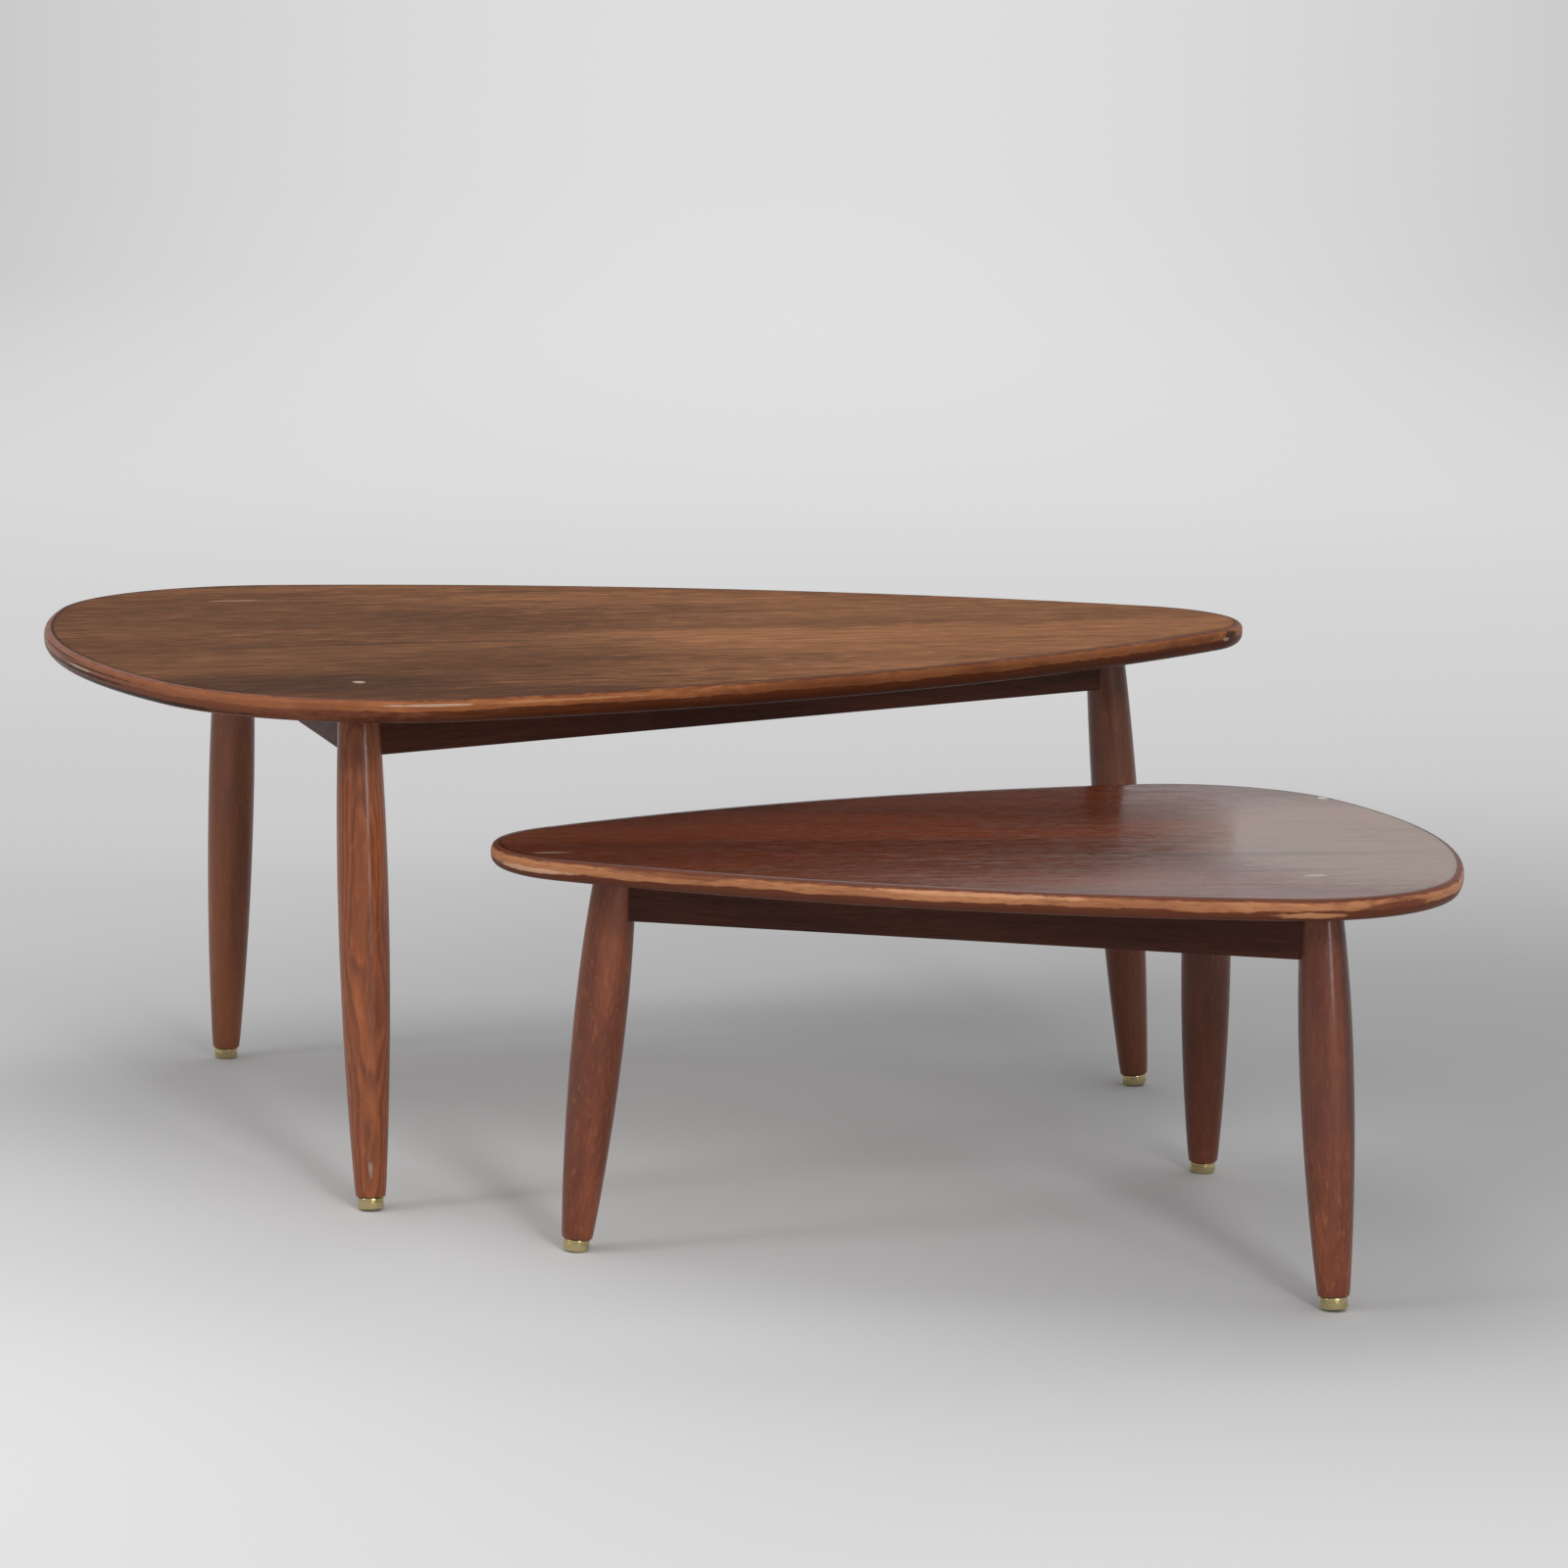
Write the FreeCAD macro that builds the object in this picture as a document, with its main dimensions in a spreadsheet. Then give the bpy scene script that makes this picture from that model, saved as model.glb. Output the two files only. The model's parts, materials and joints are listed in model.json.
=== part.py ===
import FreeCAD, Part
import math
import os

import Sketcher
from FreeCAD import Placement, Rotation, Vector

# Two nesting tables, a large one and a lower, smaller one that slides in under it.
# Each has a rounded three-cornered top, three splayed turned legs, three rails that tie the legs
# together under the top, and a brass levelling foot screwed into the end of each leg.
# The frame has +Z up from the floor, +X along the large table towards its narrow tip, and -Y to the
# front, where the small table stands pulled out. The origin is on the floor, under the middle.

# Driving sizes in millimetres that both tables share: name, value, what it is.
SHARED_SIZES = [
    ("veneer", 0.8, "thickness of the face and backing veneers"),
    ("lipping_width", 14.0, "solid edge band, from the outline inwards"),
    ("veneer_margin", 6.0, "from the outline to the edge of the face veneer, and the top rounding"),
    ("cutter_reach", 1500.0, "side of the boxes that divide and trim the pieces"),
    ("leg_end_radius", 13.0, "leg at its lower end"),
    ("leg_belly_radius", 21.7, "leg where it is thickest"),
    ("foot_radius", 11.1, "brass foot"),
    ("foot_round", 1.5, "rounding round the sole of the foot"),
    ("foot_height", 9.5, "sole to shoulder of the foot"),
    ("stud_radius", 3.95, "threaded stud of the foot, over its threads"),
    ("stud_length", 22.0, "stud above the shoulder"),
    ("seat_gap", 0.1, "between the shoulder and the flange of the insert"),
    ("flange_radius", 9.2, "flange of the insert, seen as a thin dark line above the foot"),
    ("flange_height", 0.9, "flange of the insert"),
    ("insert_radius", 6.5, "barrel of the insert in the leg"),
    ("insert_length", 27.0, "barrel of the insert above the flange"),
    ("bore_radius", 4.0, "threaded bore of the insert, over its threads"),
    ("bore_depth", 25.0, "bore above the face of the flange"),
    ("rail_width", 20.0, "thickness of a rail"),
    ("rail_depth", 45.0, "height of a rail"),
    ("dowel_radius", 3.0, "dowel in a rail end"),
    ("dowel_length", 40.0, "dowel in a rail end"),
    ("dowel_grip", 12.0, "how far a dowel goes into the leg"),
    ("dowel_gap", 20.0, "between the two dowels of a joint"),
    ("dowel_step", 7.0, "each rail's dowels are this much higher than the last one's, to miss them"),
    ("bracket_arm", 28.0, "each arm of an angle bracket"),
    ("bracket_wall", 2.5, "thickness of a bracket"),
    ("bracket_width", 18.0, "width of a bracket"),
    ("screw_reach", 18.0, "from the bracket's corner to its screws"),
    ("screw_hole", 2.2, "radius of the clearance holes in a bracket"),
    ("screw_radius", 1.9, "shank of a screw"),
    ("screw_length", 13.0, "shank of a screw"),
    ("screw_head_radius", 3.9, "head of a screw"),
    ("screw_head_height", 2.2, "head of a screw"),
    ("screw_crown_radius", 3.1, "flat of a screw's head"),
    ("screw_head_wall", 1.1, "straight side of a screw's head"),
]

# Driving sizes of each table: name, large table, small table, what it is.
TABLE_SIZES = [
    ("height", 450.0, 342.0, "floor to the table top"),
    ("board", 20.0, 18.0, "whole thickness of the top"),
    ("under_round", 10.0, 9.0, "rounding under the edge of the top"),
    ("tip_reach", 443.0, 301.5, "middle of the top to the centre of the tip arc"),
    ("tip_radius", 118.5, 97.0, "outline round the tip"),
    ("corner_back", 305.0, 217.5, "middle of the top back to the centres of the corner arcs"),
    ("corner_spread", 180.0, 135.0, "centre line to the centre of a corner arc"),
    ("corner_radius", 225.0, 155.5, "outline round the two broad corners"),
    ("side_radius", 1692.0, 1326.0, "long gently curved sides"),
    ("end_radius", 757.5, 527.0, "broad end between the corners"),
    ("tip_foot", 474.0, 326.0, "middle of the top to the tip leg's foot"),
    ("side_foot", 346.0, 258.0, "middle of the top back to the other legs' feet"),
    ("foot_spread", 318.5, 238.0, "centre line to the other legs' feet"),
    ("tip_lean", 43.0, 30.5, "how far the tip leg leans inwards on its way up"),
    ("side_lean", 51.0, 34.5, "how far the other legs lean towards the centre line"),
    ("end_lean", -1.0, 12.5, "how far the other legs lean away from the broad end"),
    ("belly_height", 262.0, 203.0, "foot sole to the thickest part of a leg, along the leg"),
    ("leg_blank", 440.0, 332.0, "foot sole to the top of a leg blank, along the leg"),
    ("leg_top_radius", 16.5, 15.8, "leg at its upper end"),
    ("place_x", 0.0, 109.0, "where the table stands"),
    ("place_y", 232.8, -314.1, "where the table stands"),
    ("turn", 0.0, 170.75, "which way its tip points, in degrees from +X"),
]

TABLES = ("large", "small")
# The local side of the centre line that the leg called front stands on.
FRONT_SIDE = {"large": -1, "small": 1}
LEGS = ("front", "back", "tip")
# Each rail runs between two legs.
RAILS = {"end": ("front", "back"), "front": ("front", "tip"), "back": ("back", "tip")}
BRACKET_SPOTS = (0.27, 0.73)  # along a rail, as parts of its length
UP = Vector(0, 0, 1)

doc = FreeCAD.newDocument("NestingTables")
sheet = doc.addObject("Spreadsheet::Sheet", "Sizes")
nodes = []


def fill_sheet():
    """Write the driving sizes into the sheet, each with its alias and its meaning."""
    rows = list(SHARED_SIZES)
    for name, large, small, meaning in TABLE_SIZES:
        rows.append(("large_" + name, large, "large table: " + meaning))
        rows.append(("small_" + name, small, "small table: " + meaning))
    for row, (alias, value, meaning) in enumerate(rows, start=1):
        sheet.set(f"A{row}", alias)
        sheet.set(f"B{row}", str(value))
        sheet.setAlias(f"B{row}", alias)
        sheet.set(f"C{row}", meaning)
    doc.recompute()


def size(name):
    """Read one driving size from the sheet."""
    return float(sheet.get(name))


def worth(expression):
    """Work out an expression over the sheet's sizes as a plain number."""
    result = sheet.evalExpression(expression)
    return float(getattr(result, "Value", result))


def keep(item, label):
    """Name a finished sub-part, so that it is checked and written out as a node."""
    item.Label = label
    nodes.append(item)
    return item


def standing(table):
    """Give the placement of a table on the floor."""
    spot = Vector(size(table + "_place_x"), size(table + "_place_y"), 0)
    return Placement(spot, Rotation(UP, size(table + "_turn")))


def origin_plane(body, role):
    """Find one of a body's own origin planes by its role."""
    return next(item for item in body.Origin.OriginFeatures if item.Role == role)


def new_body(name, placement):
    """Start an empty PartDesign body at a placement."""
    body = doc.addObject("PartDesign::Body", name)
    body.Placement = placement
    return body


def new_sketch(body, name, role):
    """Attach an empty sketch to one of the body's origin planes."""
    sketch = body.newObject("Sketcher::SketchObject", name)
    sketch.AttachmentSupport = [(origin_plane(body, role), "")]
    sketch.MapMode = "FlatFace"
    return sketch


def bind(sketch, constraint, name, expression):
    """Add a dimension to a sketch and drive it from the sheet."""
    index = sketch.addConstraint(constraint)
    sketch.renameConstraint(index, name)
    sketch.setExpression("Constraints." + name, expression)


# ---------------------------------------------------------------- outline of a top


def side_centre(tip, tip_gap, corner, corner_gap):
    """Find the centre of the long side arc, at the given distances from the tip and corner centres.

    It lies on the far side of the centre line, so the arc bows outwards.
    """
    way = corner - tip
    span = way.Length
    along = (tip_gap**2 - corner_gap**2 + span**2) / (2 * span)
    across = math.sqrt(tip_gap**2 - along**2)
    way.normalize()
    return tip + way * along + Vector(-way.y, way.x, 0) * across


def angle_of(way):
    """Give the direction of a flat vector in radians."""
    return math.atan2(way.y, way.x)


def outline_sketch(body, name, table, inset, level):
    """Draw a top's outline as six arcs, each tangent to the next, in the XY plane of the body.

    The arcs keep their centres, and inset, an expression, is taken off every radius.
    level is an expression for the sketch's height above the floor.
    """
    sketch = new_sketch(body, name, "XY_Plane")
    sketch.setExpression("AttachmentOffset.Base.z", level)
    sizes = {key: size(f"{table}_{key}") for key in ("tip_reach", "corner_back", "corner_spread")}
    radii = {key: size(f"{table}_{key}_radius") for key in ("tip", "side", "corner", "end")}
    tip = Vector(sizes["tip_reach"], 0, 0)
    corner = Vector(-sizes["corner_back"], sizes["corner_spread"], 0)
    side = side_centre(tip, radii["side"] - radii["tip"], corner, radii["side"] - radii["corner"])
    end_gap = math.sqrt((radii["end"] - radii["corner"]) ** 2 - corner.y**2)
    end = Vector(corner.x + end_gap, 0, 0)
    tip_turn = angle_of(tip - side)
    corner_turn = angle_of(corner - side)
    end_turn = angle_of(corner - end)
    full = 2 * math.pi
    arcs = [
        (tip, "tip", -tip_turn, tip_turn),
        (side, "side", tip_turn, corner_turn),
        (corner, "corner", corner_turn, end_turn),
        (end, "end", end_turn, full - end_turn),
        (Vector(corner.x, -corner.y, 0), "corner", full - end_turn, full - corner_turn),
        (Vector(side.x, -side.y, 0), "side", full - corner_turn, full - tip_turn),
    ]
    less = worth(inset)
    for centre, key, start, stop in arcs:
        circle = Part.Circle(centre, UP, radii[key] - less)
        sketch.addGeometry(Part.ArcOfCircle(circle, start, stop), False)
    for index in range(len(arcs)):
        follower = (index + 1) % len(arcs)
        sketch.addConstraint(Sketcher.Constraint("Tangent", index, 2, follower, 1))
    sketch.addConstraint(Sketcher.Constraint("PointOnObject", 0, 3, -1))
    sketch.addConstraint(Sketcher.Constraint("Symmetric", 2, 3, 4, 3, -1))
    sketch.addConstraint(Sketcher.Constraint("Equal", 2, 4))
    sketch.addConstraint(Sketcher.Constraint("Equal", 1, 5))
    reach = Sketcher.Constraint("DistanceX", -1, 1, 0, 3, sizes["tip_reach"])
    bind(sketch, reach, "tip_reach", f"Sizes.{table}_tip_reach")
    back = Sketcher.Constraint("DistanceX", 2, 3, -1, 1, sizes["corner_back"])
    bind(sketch, back, "corner_back", f"Sizes.{table}_corner_back")
    spread = Sketcher.Constraint("DistanceY", -1, 1, 2, 3, sizes["corner_spread"])
    bind(sketch, spread, "corner_spread", f"Sizes.{table}_corner_spread")
    for index, key in enumerate(("tip", "side", "corner", "end")):
        radius = Sketcher.Constraint("Radius", index, radii[key] - less)
        bind(sketch, radius, key + "_radius", f"Sizes.{table}_{key}_radius - {inset}")
    return sketch


def slab(name, table, inset, level, thickness):
    """Pad an outline upwards from a level into a flat board."""
    body = new_body(name, standing(table))
    sketch = outline_sketch(body, name + "_outline", table, inset, level)
    pad = body.newObject("PartDesign::Pad", name + "_pad")
    pad.Profile = sketch
    pad.setExpression("Length", thickness)
    doc.recompute()
    return body


def rim_edges(feature, level):
    """Name the edges of a feature that lie flat at a level of the body's own frame."""
    names = []
    for index, edge in enumerate(feature.Shape.Edges, start=1):
        box = edge.BoundBox
        if abs(box.ZMin - level) < 0.01 and abs(box.ZMax - level) < 0.01:
            names.append(f"Edge{index}")
    return names


def round_rim(body, name, base, level, radius):
    """Round every edge of a board that lies at a level."""
    fillet = body.newObject("PartDesign::Fillet", name)
    fillet.Base = (base, rim_edges(base, worth(level)))
    fillet.setExpression("Radius", radius)
    doc.recompute()
    return fillet


def sink(body, name, table, inset, depth):
    """Pocket an outline down from the top face, and check that it cut something."""
    before = body.Shape.Volume
    top = f"Sizes.{table}_height"
    sketch = outline_sketch(body, name + "_outline", table, inset, top)
    pocket = body.newObject("PartDesign::Pocket", name)
    pocket.Profile = sketch
    pocket.setExpression("Length", depth)
    doc.recompute()
    if body.Shape.Volume >= before:
        raise RuntimeError(name + " cuts nothing")


def edge_band(table):
    """Make the whole rounded edge band, with the rebate that the face veneer lies in."""
    underside = f"Sizes.{table}_height - Sizes.{table}_board"
    body = slab(table + "_edge_band", table, "0", underside, f"Sizes.{table}_board")
    top = f"Sizes.{table}_height"
    upper = round_rim(body, table + "_upper_rounding", body.Tip, top, "Sizes.veneer_margin")
    round_rim(body, table + "_under_rounding", upper, underside, f"Sizes.{table}_under_round")
    sink(body, table + "_middle", table, "Sizes.lipping_width", f"Sizes.{table}_board")
    sink(body, table + "_rebate", table, "Sizes.veneer_margin", "Sizes.veneer")
    return body


def cutter(name, table, corner):
    """Make a large box on a table's own axes, with its lowest corner at a given place."""
    box = doc.addObject("Part::Box", name)
    for side in ("Length", "Width", "Height"):
        box.setExpression(side, "Sizes.cutter_reach")
    box.Placement = standing(table).multiply(Placement(corner, Rotation()))
    return box


def lippings(table):
    """Divide the edge band into three lengths, butted at the tip and at the two broad corners."""
    band = edge_band(table)
    reach = size("cutter_reach")
    joint = -size(table + "_corner_back")
    front_low = -reach if FRONT_SIDE[table] < 0 else 0.0
    corners = {
        "front": Vector(joint, front_low, 0),
        "back": Vector(joint, -reach - front_low, 0),
        "end": Vector(joint - reach, -reach / 2, 0),
    }
    for name, corner in corners.items():
        piece = doc.addObject("Part::Common", f"{table}_lipping_{name}")
        piece.Base = band
        piece.Tool = cutter(f"{table}_{name}_span", table, corner)
        keep(piece, f"{table}_lipping_{name}")


# ---------------------------------------------------------------- turned pieces


def turned_body(name, placement, corners, curved=()):
    """Revolve a closed profile about the body's Z axis.

    corners is a list of pairs of expressions, the distance from the axis and the height along it.
    curved holds the numbers of the edges that are arcs. Such an arc is upright at its thickest
    end, because its centre is level with that end.
    """
    body = new_body(name, placement)
    sketch = new_sketch(body, name + "_profile", "XZ_Plane")
    points = [Vector(worth(across), worth(along), 0) for across, along in corners]
    for index, start in enumerate(points):
        stop = points[(index + 1) % len(points)]
        sketch.addGeometry(profile_edge(start, stop, index in curved), False)
    for index, start in enumerate(points):
        follower = (index + 1) % len(points)
        sketch.addConstraint(Sketcher.Constraint("Coincident", index, 2, follower, 1))
        if index in curved:
            thick_end = 2 if points[follower].x > start.x else 1
            level = Sketcher.Constraint("Horizontal", index, 3, index, thick_end)
            sketch.addConstraint(level)
    for index, (across, along) in enumerate(corners):
        point = points[index]
        if across == "0":
            sketch.addConstraint(Sketcher.Constraint("PointOnObject", index, 1, -2))
        else:
            width = Sketcher.Constraint("DistanceX", -1, 1, index, 1, point.x)
            bind(sketch, width, f"across_{index}", across)
        if along == "0":
            sketch.addConstraint(Sketcher.Constraint("PointOnObject", index, 1, -1))
        else:
            height = Sketcher.Constraint("DistanceY", -1, 1, index, 1, point.y)
            bind(sketch, height, f"along_{index}", along)
    turning = body.newObject("PartDesign::Revolution", name + "_turning")
    turning.Profile = sketch
    turning.ReferenceAxis = (sketch, ["V_Axis"])
    turning.Angle = 360
    doc.recompute()
    return body


def profile_edge(start, stop, bowed):
    """Make one edge of a turned profile, straight or bowed outwards."""
    if not bowed:
        return Part.LineSegment(start, stop)
    thick, thin = (stop, start) if stop.x > start.x else (start, stop)
    fall = thick.x - thin.x
    radius = (fall**2 + (thick.y - thin.y) ** 2) / (2 * fall)
    circle = Part.Circle(Vector(thick.x - radius, thick.y, 0), UP, radius)
    return Part.ArcOfCircle(circle, circle.parameter(start), circle.parameter(stop))


def leg_axis(table, name):
    """Give the floor point of a leg and where its axis meets the underside, in the table's frame."""
    rise = size(table + "_height") - size(table + "_board")
    if name == "tip":
        reach = size(table + "_tip_foot")
        return Vector(reach, 0, 0), Vector(reach - size(table + "_tip_lean"), 0, rise)
    side = FRONT_SIDE[table] if name == "front" else -FRONT_SIDE[table]
    foot = Vector(-size(table + "_side_foot"), side * size(table + "_foot_spread"), 0)
    lean = Vector(size(table + "_end_lean"), -side * size(table + "_side_lean"), rise)
    return foot, foot + lean


def leg_placement(table, name):
    """Stand a leg's axis in its place, starting at the middle of the sole of its foot.

    The sole leans with the leg, so its lowest edge and not its middle touches the floor.
    """
    floor, top = leg_axis(table, name)
    way = top - floor
    way.normalize()
    tilt = way.getAngle(UP)
    rounding = size("foot_round")
    flat = size("foot_radius") - rounding
    lift = (rounding + flat * math.sin(tilt)) / math.cos(tilt) - rounding
    local = Placement(floor + way * lift, Rotation(UP, way))
    return standing(table).multiply(local)


LEG_END = "Sizes.foot_height + Sizes.seat_gap + Sizes.flange_height"
FLANGE_FACE = "Sizes.foot_height + Sizes.seat_gap"


def turned_leg(table, name):
    """Turn a cigar-shaped leg blank, thickest above its middle, bored below for its insert."""
    blank = f"Sizes.{table}_leg_blank"
    hole_end = LEG_END + " + Sizes.insert_length"
    corners = [
        ("Sizes.insert_radius", LEG_END),
        ("Sizes.leg_end_radius", LEG_END),
        ("Sizes.leg_belly_radius", f"Sizes.{table}_belly_height"),
        (f"Sizes.{table}_leg_top_radius", blank),
        ("0", blank),
        ("0", hole_end),
        ("Sizes.insert_radius", hole_end),
    ]
    label = f"{table}_{name}_leg_blank"
    return turned_body(label, leg_placement(table, name), corners, curved=(1, 2))


def foot_insert(table, name):
    """Turn the blind brass insert that the foot's stud screws into."""
    barrel_end = LEG_END + " + Sizes.insert_length"
    bore_end = FLANGE_FACE + " + Sizes.bore_depth"
    corners = [
        ("Sizes.bore_radius", FLANGE_FACE),
        ("Sizes.flange_radius", FLANGE_FACE),
        ("Sizes.flange_radius", LEG_END),
        ("Sizes.insert_radius", LEG_END),
        ("Sizes.insert_radius", barrel_end),
        ("0", barrel_end),
        ("0", bore_end),
        ("Sizes.bore_radius", bore_end),
    ]
    label = f"{table}_foot_insert_{name}"
    return keep(turned_body(label, leg_placement(table, name), corners), label)


def levelling_foot(table, name):
    """Turn a brass foot with its stud, and round its sole."""
    stud_end = "Sizes.foot_height + Sizes.stud_length"
    corners = [
        ("0", "0"),
        ("Sizes.foot_radius", "0"),
        ("Sizes.foot_radius", "Sizes.foot_height"),
        ("Sizes.stud_radius", "Sizes.foot_height"),
        ("Sizes.stud_radius", stud_end),
        ("0", stud_end),
    ]
    label = f"{table}_foot_{name}"
    body = turned_body(label, leg_placement(table, name), corners)
    round_rim(body, label + "_rounding", body.Tip, "0", "Sizes.foot_round")
    return keep(body, label)


# ---------------------------------------------------------------- rails and joints


def group(name, items):
    """Gather separate solids into one compound."""
    compound = doc.addObject("Part::Compound", name)
    compound.Links = items
    return compound


def cut(name, base, tool):
    """Cut one object with another."""
    result = doc.addObject("Part::Cut", name)
    result.Base = base
    result.Tool = tool
    return result


def rail_line(table, name):
    """Give the middle of a rail's two ends, on the leg axes, halfway up the rail."""
    rise = size(table + "_height") - size(table + "_board")
    part_way = 1 - size("rail_depth") / 2 / rise
    ends = []
    for leg in RAILS[name]:
        floor, top = leg_axis(table, leg)
        ends.append(floor + (top - floor) * part_way)
    return ends


def along_rail(table, name, distance, across, height):
    """Give the placement at a place on a rail, with X along it and Y towards the table's middle."""
    start, stop = rail_line(table, name)
    way = stop - start
    way.normalize()
    inward = Vector(-way.y, way.x, 0)
    if inward.dot(start) > 0:
        inward = inward * -1
    spot = start + way * distance + inward * across + UP * height
    turn = Rotation(way, inward, way.cross(inward), "XYZ")
    return standing(table).multiply(Placement(spot, turn))


def rail_length(table, name):
    """Give the distance between the leg axes that a rail joins."""
    start, stop = rail_line(table, name)
    return (stop - start).Length


def rail_blank(table, name):
    """Make the squared rail between the leg axes, before its ends are shaped to the legs."""
    start, stop = rail_line(table, name)
    way = stop - start
    way.normalize()
    aside = Vector(-way.y, way.x, 0) * (size("rail_width") / 2)
    corner = start - aside - UP * (size("rail_depth") / 2)
    box = doc.addObject("Part::Box", f"{table}_{name}_rail_blank")
    box.Length = way.dot(stop - start)
    box.setExpression("Width", "Sizes.rail_width")
    box.setExpression("Height", "Sizes.rail_depth")
    turn = Rotation(UP, math.degrees(angle_of(way)))
    box.Placement = standing(table).multiply(Placement(corner, turn))
    return box


def mitre(table, name, rail):
    """Cut the front and back rails back to the centre line, where they meet at the tip leg."""
    if name == "end":
        return rail
    side = FRONT_SIDE[table] if name == "front" else -FRONT_SIDE[table]
    reach = size("cutter_reach")
    low = 0 if side < 0 else -reach
    far_side = cutter(f"{table}_{name}_far_side", table, Vector(-reach / 2, low, 0))
    return cut(f"{table}_{name}_rail_mitred", rail, far_side)


def rail_dowels(table):
    """Set two dowels across each joint of rail and leg, staggered so that none meet in a leg."""
    pins = []
    leg_radius = size(table + "_leg_top_radius")
    for step, name in enumerate(RAILS):
        length = rail_length(table, name)
        first = leg_radius - size("dowel_grip")
        last = length - first - size("dowel_length")
        lowest = -size("dowel_gap") / 2 + (step - 1) * size("dowel_step")
        for distance in (first, last):
            for level in (lowest, lowest + size("dowel_gap")):
                pin = doc.addObject("Part::Cylinder", f"{table}_{name}_dowel_{len(pins)}")
                pin.setExpression("Radius", "Sizes.dowel_radius")
                pin.setExpression("Height", "Sizes.dowel_length")
                spot = along_rail(table, name, distance, 0, level)
                pin.Placement = spot.multiply(Placement(Vector(), Rotation(UP, Vector(1, 0, 0))))
                pins.append(pin)
    return keep(group(table + "_rail_dowels", pins), table + "_rail_dowels")


# ---------------------------------------------------------------- top fixings


def bracket_pattern():
    """Make one drilled angle bracket: its corner at the origin, one arm along Y, one down -Z."""
    spans = {
        "flat": ("bracket_arm", "bracket_wall"),
        "upright": ("bracket_wall", "bracket_arm"),
    }
    arms = []
    for name, (depth, drop) in spans.items():
        arm = doc.addObject("Part::Box", "bracket_" + name)
        arm.setExpression("Length", "Sizes.bracket_width")
        arm.setExpression("Width", "Sizes." + depth)
        arm.setExpression("Height", "Sizes." + drop)
        arm.setExpression("Placement.Base.x", "-Sizes.bracket_width / 2")
        arm.setExpression("Placement.Base.z", "-Sizes." + drop)
        arms.append(arm)
    angle = doc.addObject("Part::MultiFuse", "bracket_angle")
    angle.Shapes = arms
    wall = size("bracket_wall")
    reach = size("screw_reach")
    bores = {
        "flat": (Vector(0, reach, wall), UP * -1),
        "upright": (Vector(0, -wall, -reach), Vector(0, 1, 0)),
    }
    holes = []
    for name, (start, way) in bores.items():
        hole = doc.addObject("Part::Cylinder", f"bracket_{name}_hole")
        hole.setExpression("Radius", "Sizes.screw_hole")
        hole.setExpression("Height", "Sizes.bracket_arm")
        hole.Placement = Placement(start, Rotation(UP, way))
        holes.append(hole)
    return cut("bracket_pattern", angle, group("bracket_holes", holes))


def screw_pattern():
    """Turn one pan-head screw, its head below the origin and its shank along +Z."""
    corners = [
        ("0", "-Sizes.screw_head_height"),
        ("Sizes.screw_crown_radius", "-Sizes.screw_head_height"),
        ("Sizes.screw_head_radius", "-Sizes.screw_head_wall"),
        ("Sizes.screw_head_radius", "0"),
        ("Sizes.screw_radius", "0"),
        ("Sizes.screw_radius", "Sizes.screw_length - Sizes.screw_radius"),
        ("0", "Sizes.screw_length"),
    ]
    return turned_body("screw_pattern", Placement(), corners)


def copy_of(pattern, name, placement):
    """Place a link to a pattern piece."""
    link = doc.addObject("App::Link", name)
    link.LinkedObject = pattern
    link.Placement = placement
    return link


def top_fixings(table, bracket, screw):
    """Fix the top to the rails with two brackets to a rail, and screws up and sideways."""
    brackets, top_screws, rail_screws = [], [], []
    underside = size("rail_depth") / 2
    face = size("rail_width") / 2
    wall = size("bracket_wall")
    reach = size("screw_reach")
    for name in RAILS:
        for spot in BRACKET_SPOTS:
            distance = spot * rail_length(table, name)
            tag = f"{table}_{name}_{int(spot * 100)}"
            base = along_rail(table, name, distance, face, underside)
            if base.Rotation.multVec(UP).z < 0:
                base = base.multiply(Placement(Vector(), Rotation(Vector(0, 1, 0), 180)))
            brackets.append(copy_of(bracket, tag + "_bracket", base))
            upward = Placement(Vector(0, reach, -wall), Rotation())
            top_screws.append(copy_of(screw, tag + "_top_screw", base.multiply(upward)))
            outward = Placement(Vector(0, wall, -reach), Rotation(UP, Vector(0, -1, 0)))
            rail_screws.append(copy_of(screw, tag + "_rail_screw", base.multiply(outward)))
    keep(group(table + "_top_brackets", brackets), table + "_top_brackets")
    upper = keep(group(table + "_top_screws", top_screws), table + "_top_screws")
    lower = keep(group(table + "_rail_screws", rail_screws), table + "_rail_screws")
    return upper, lower


# ---------------------------------------------------------------- one table


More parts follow.
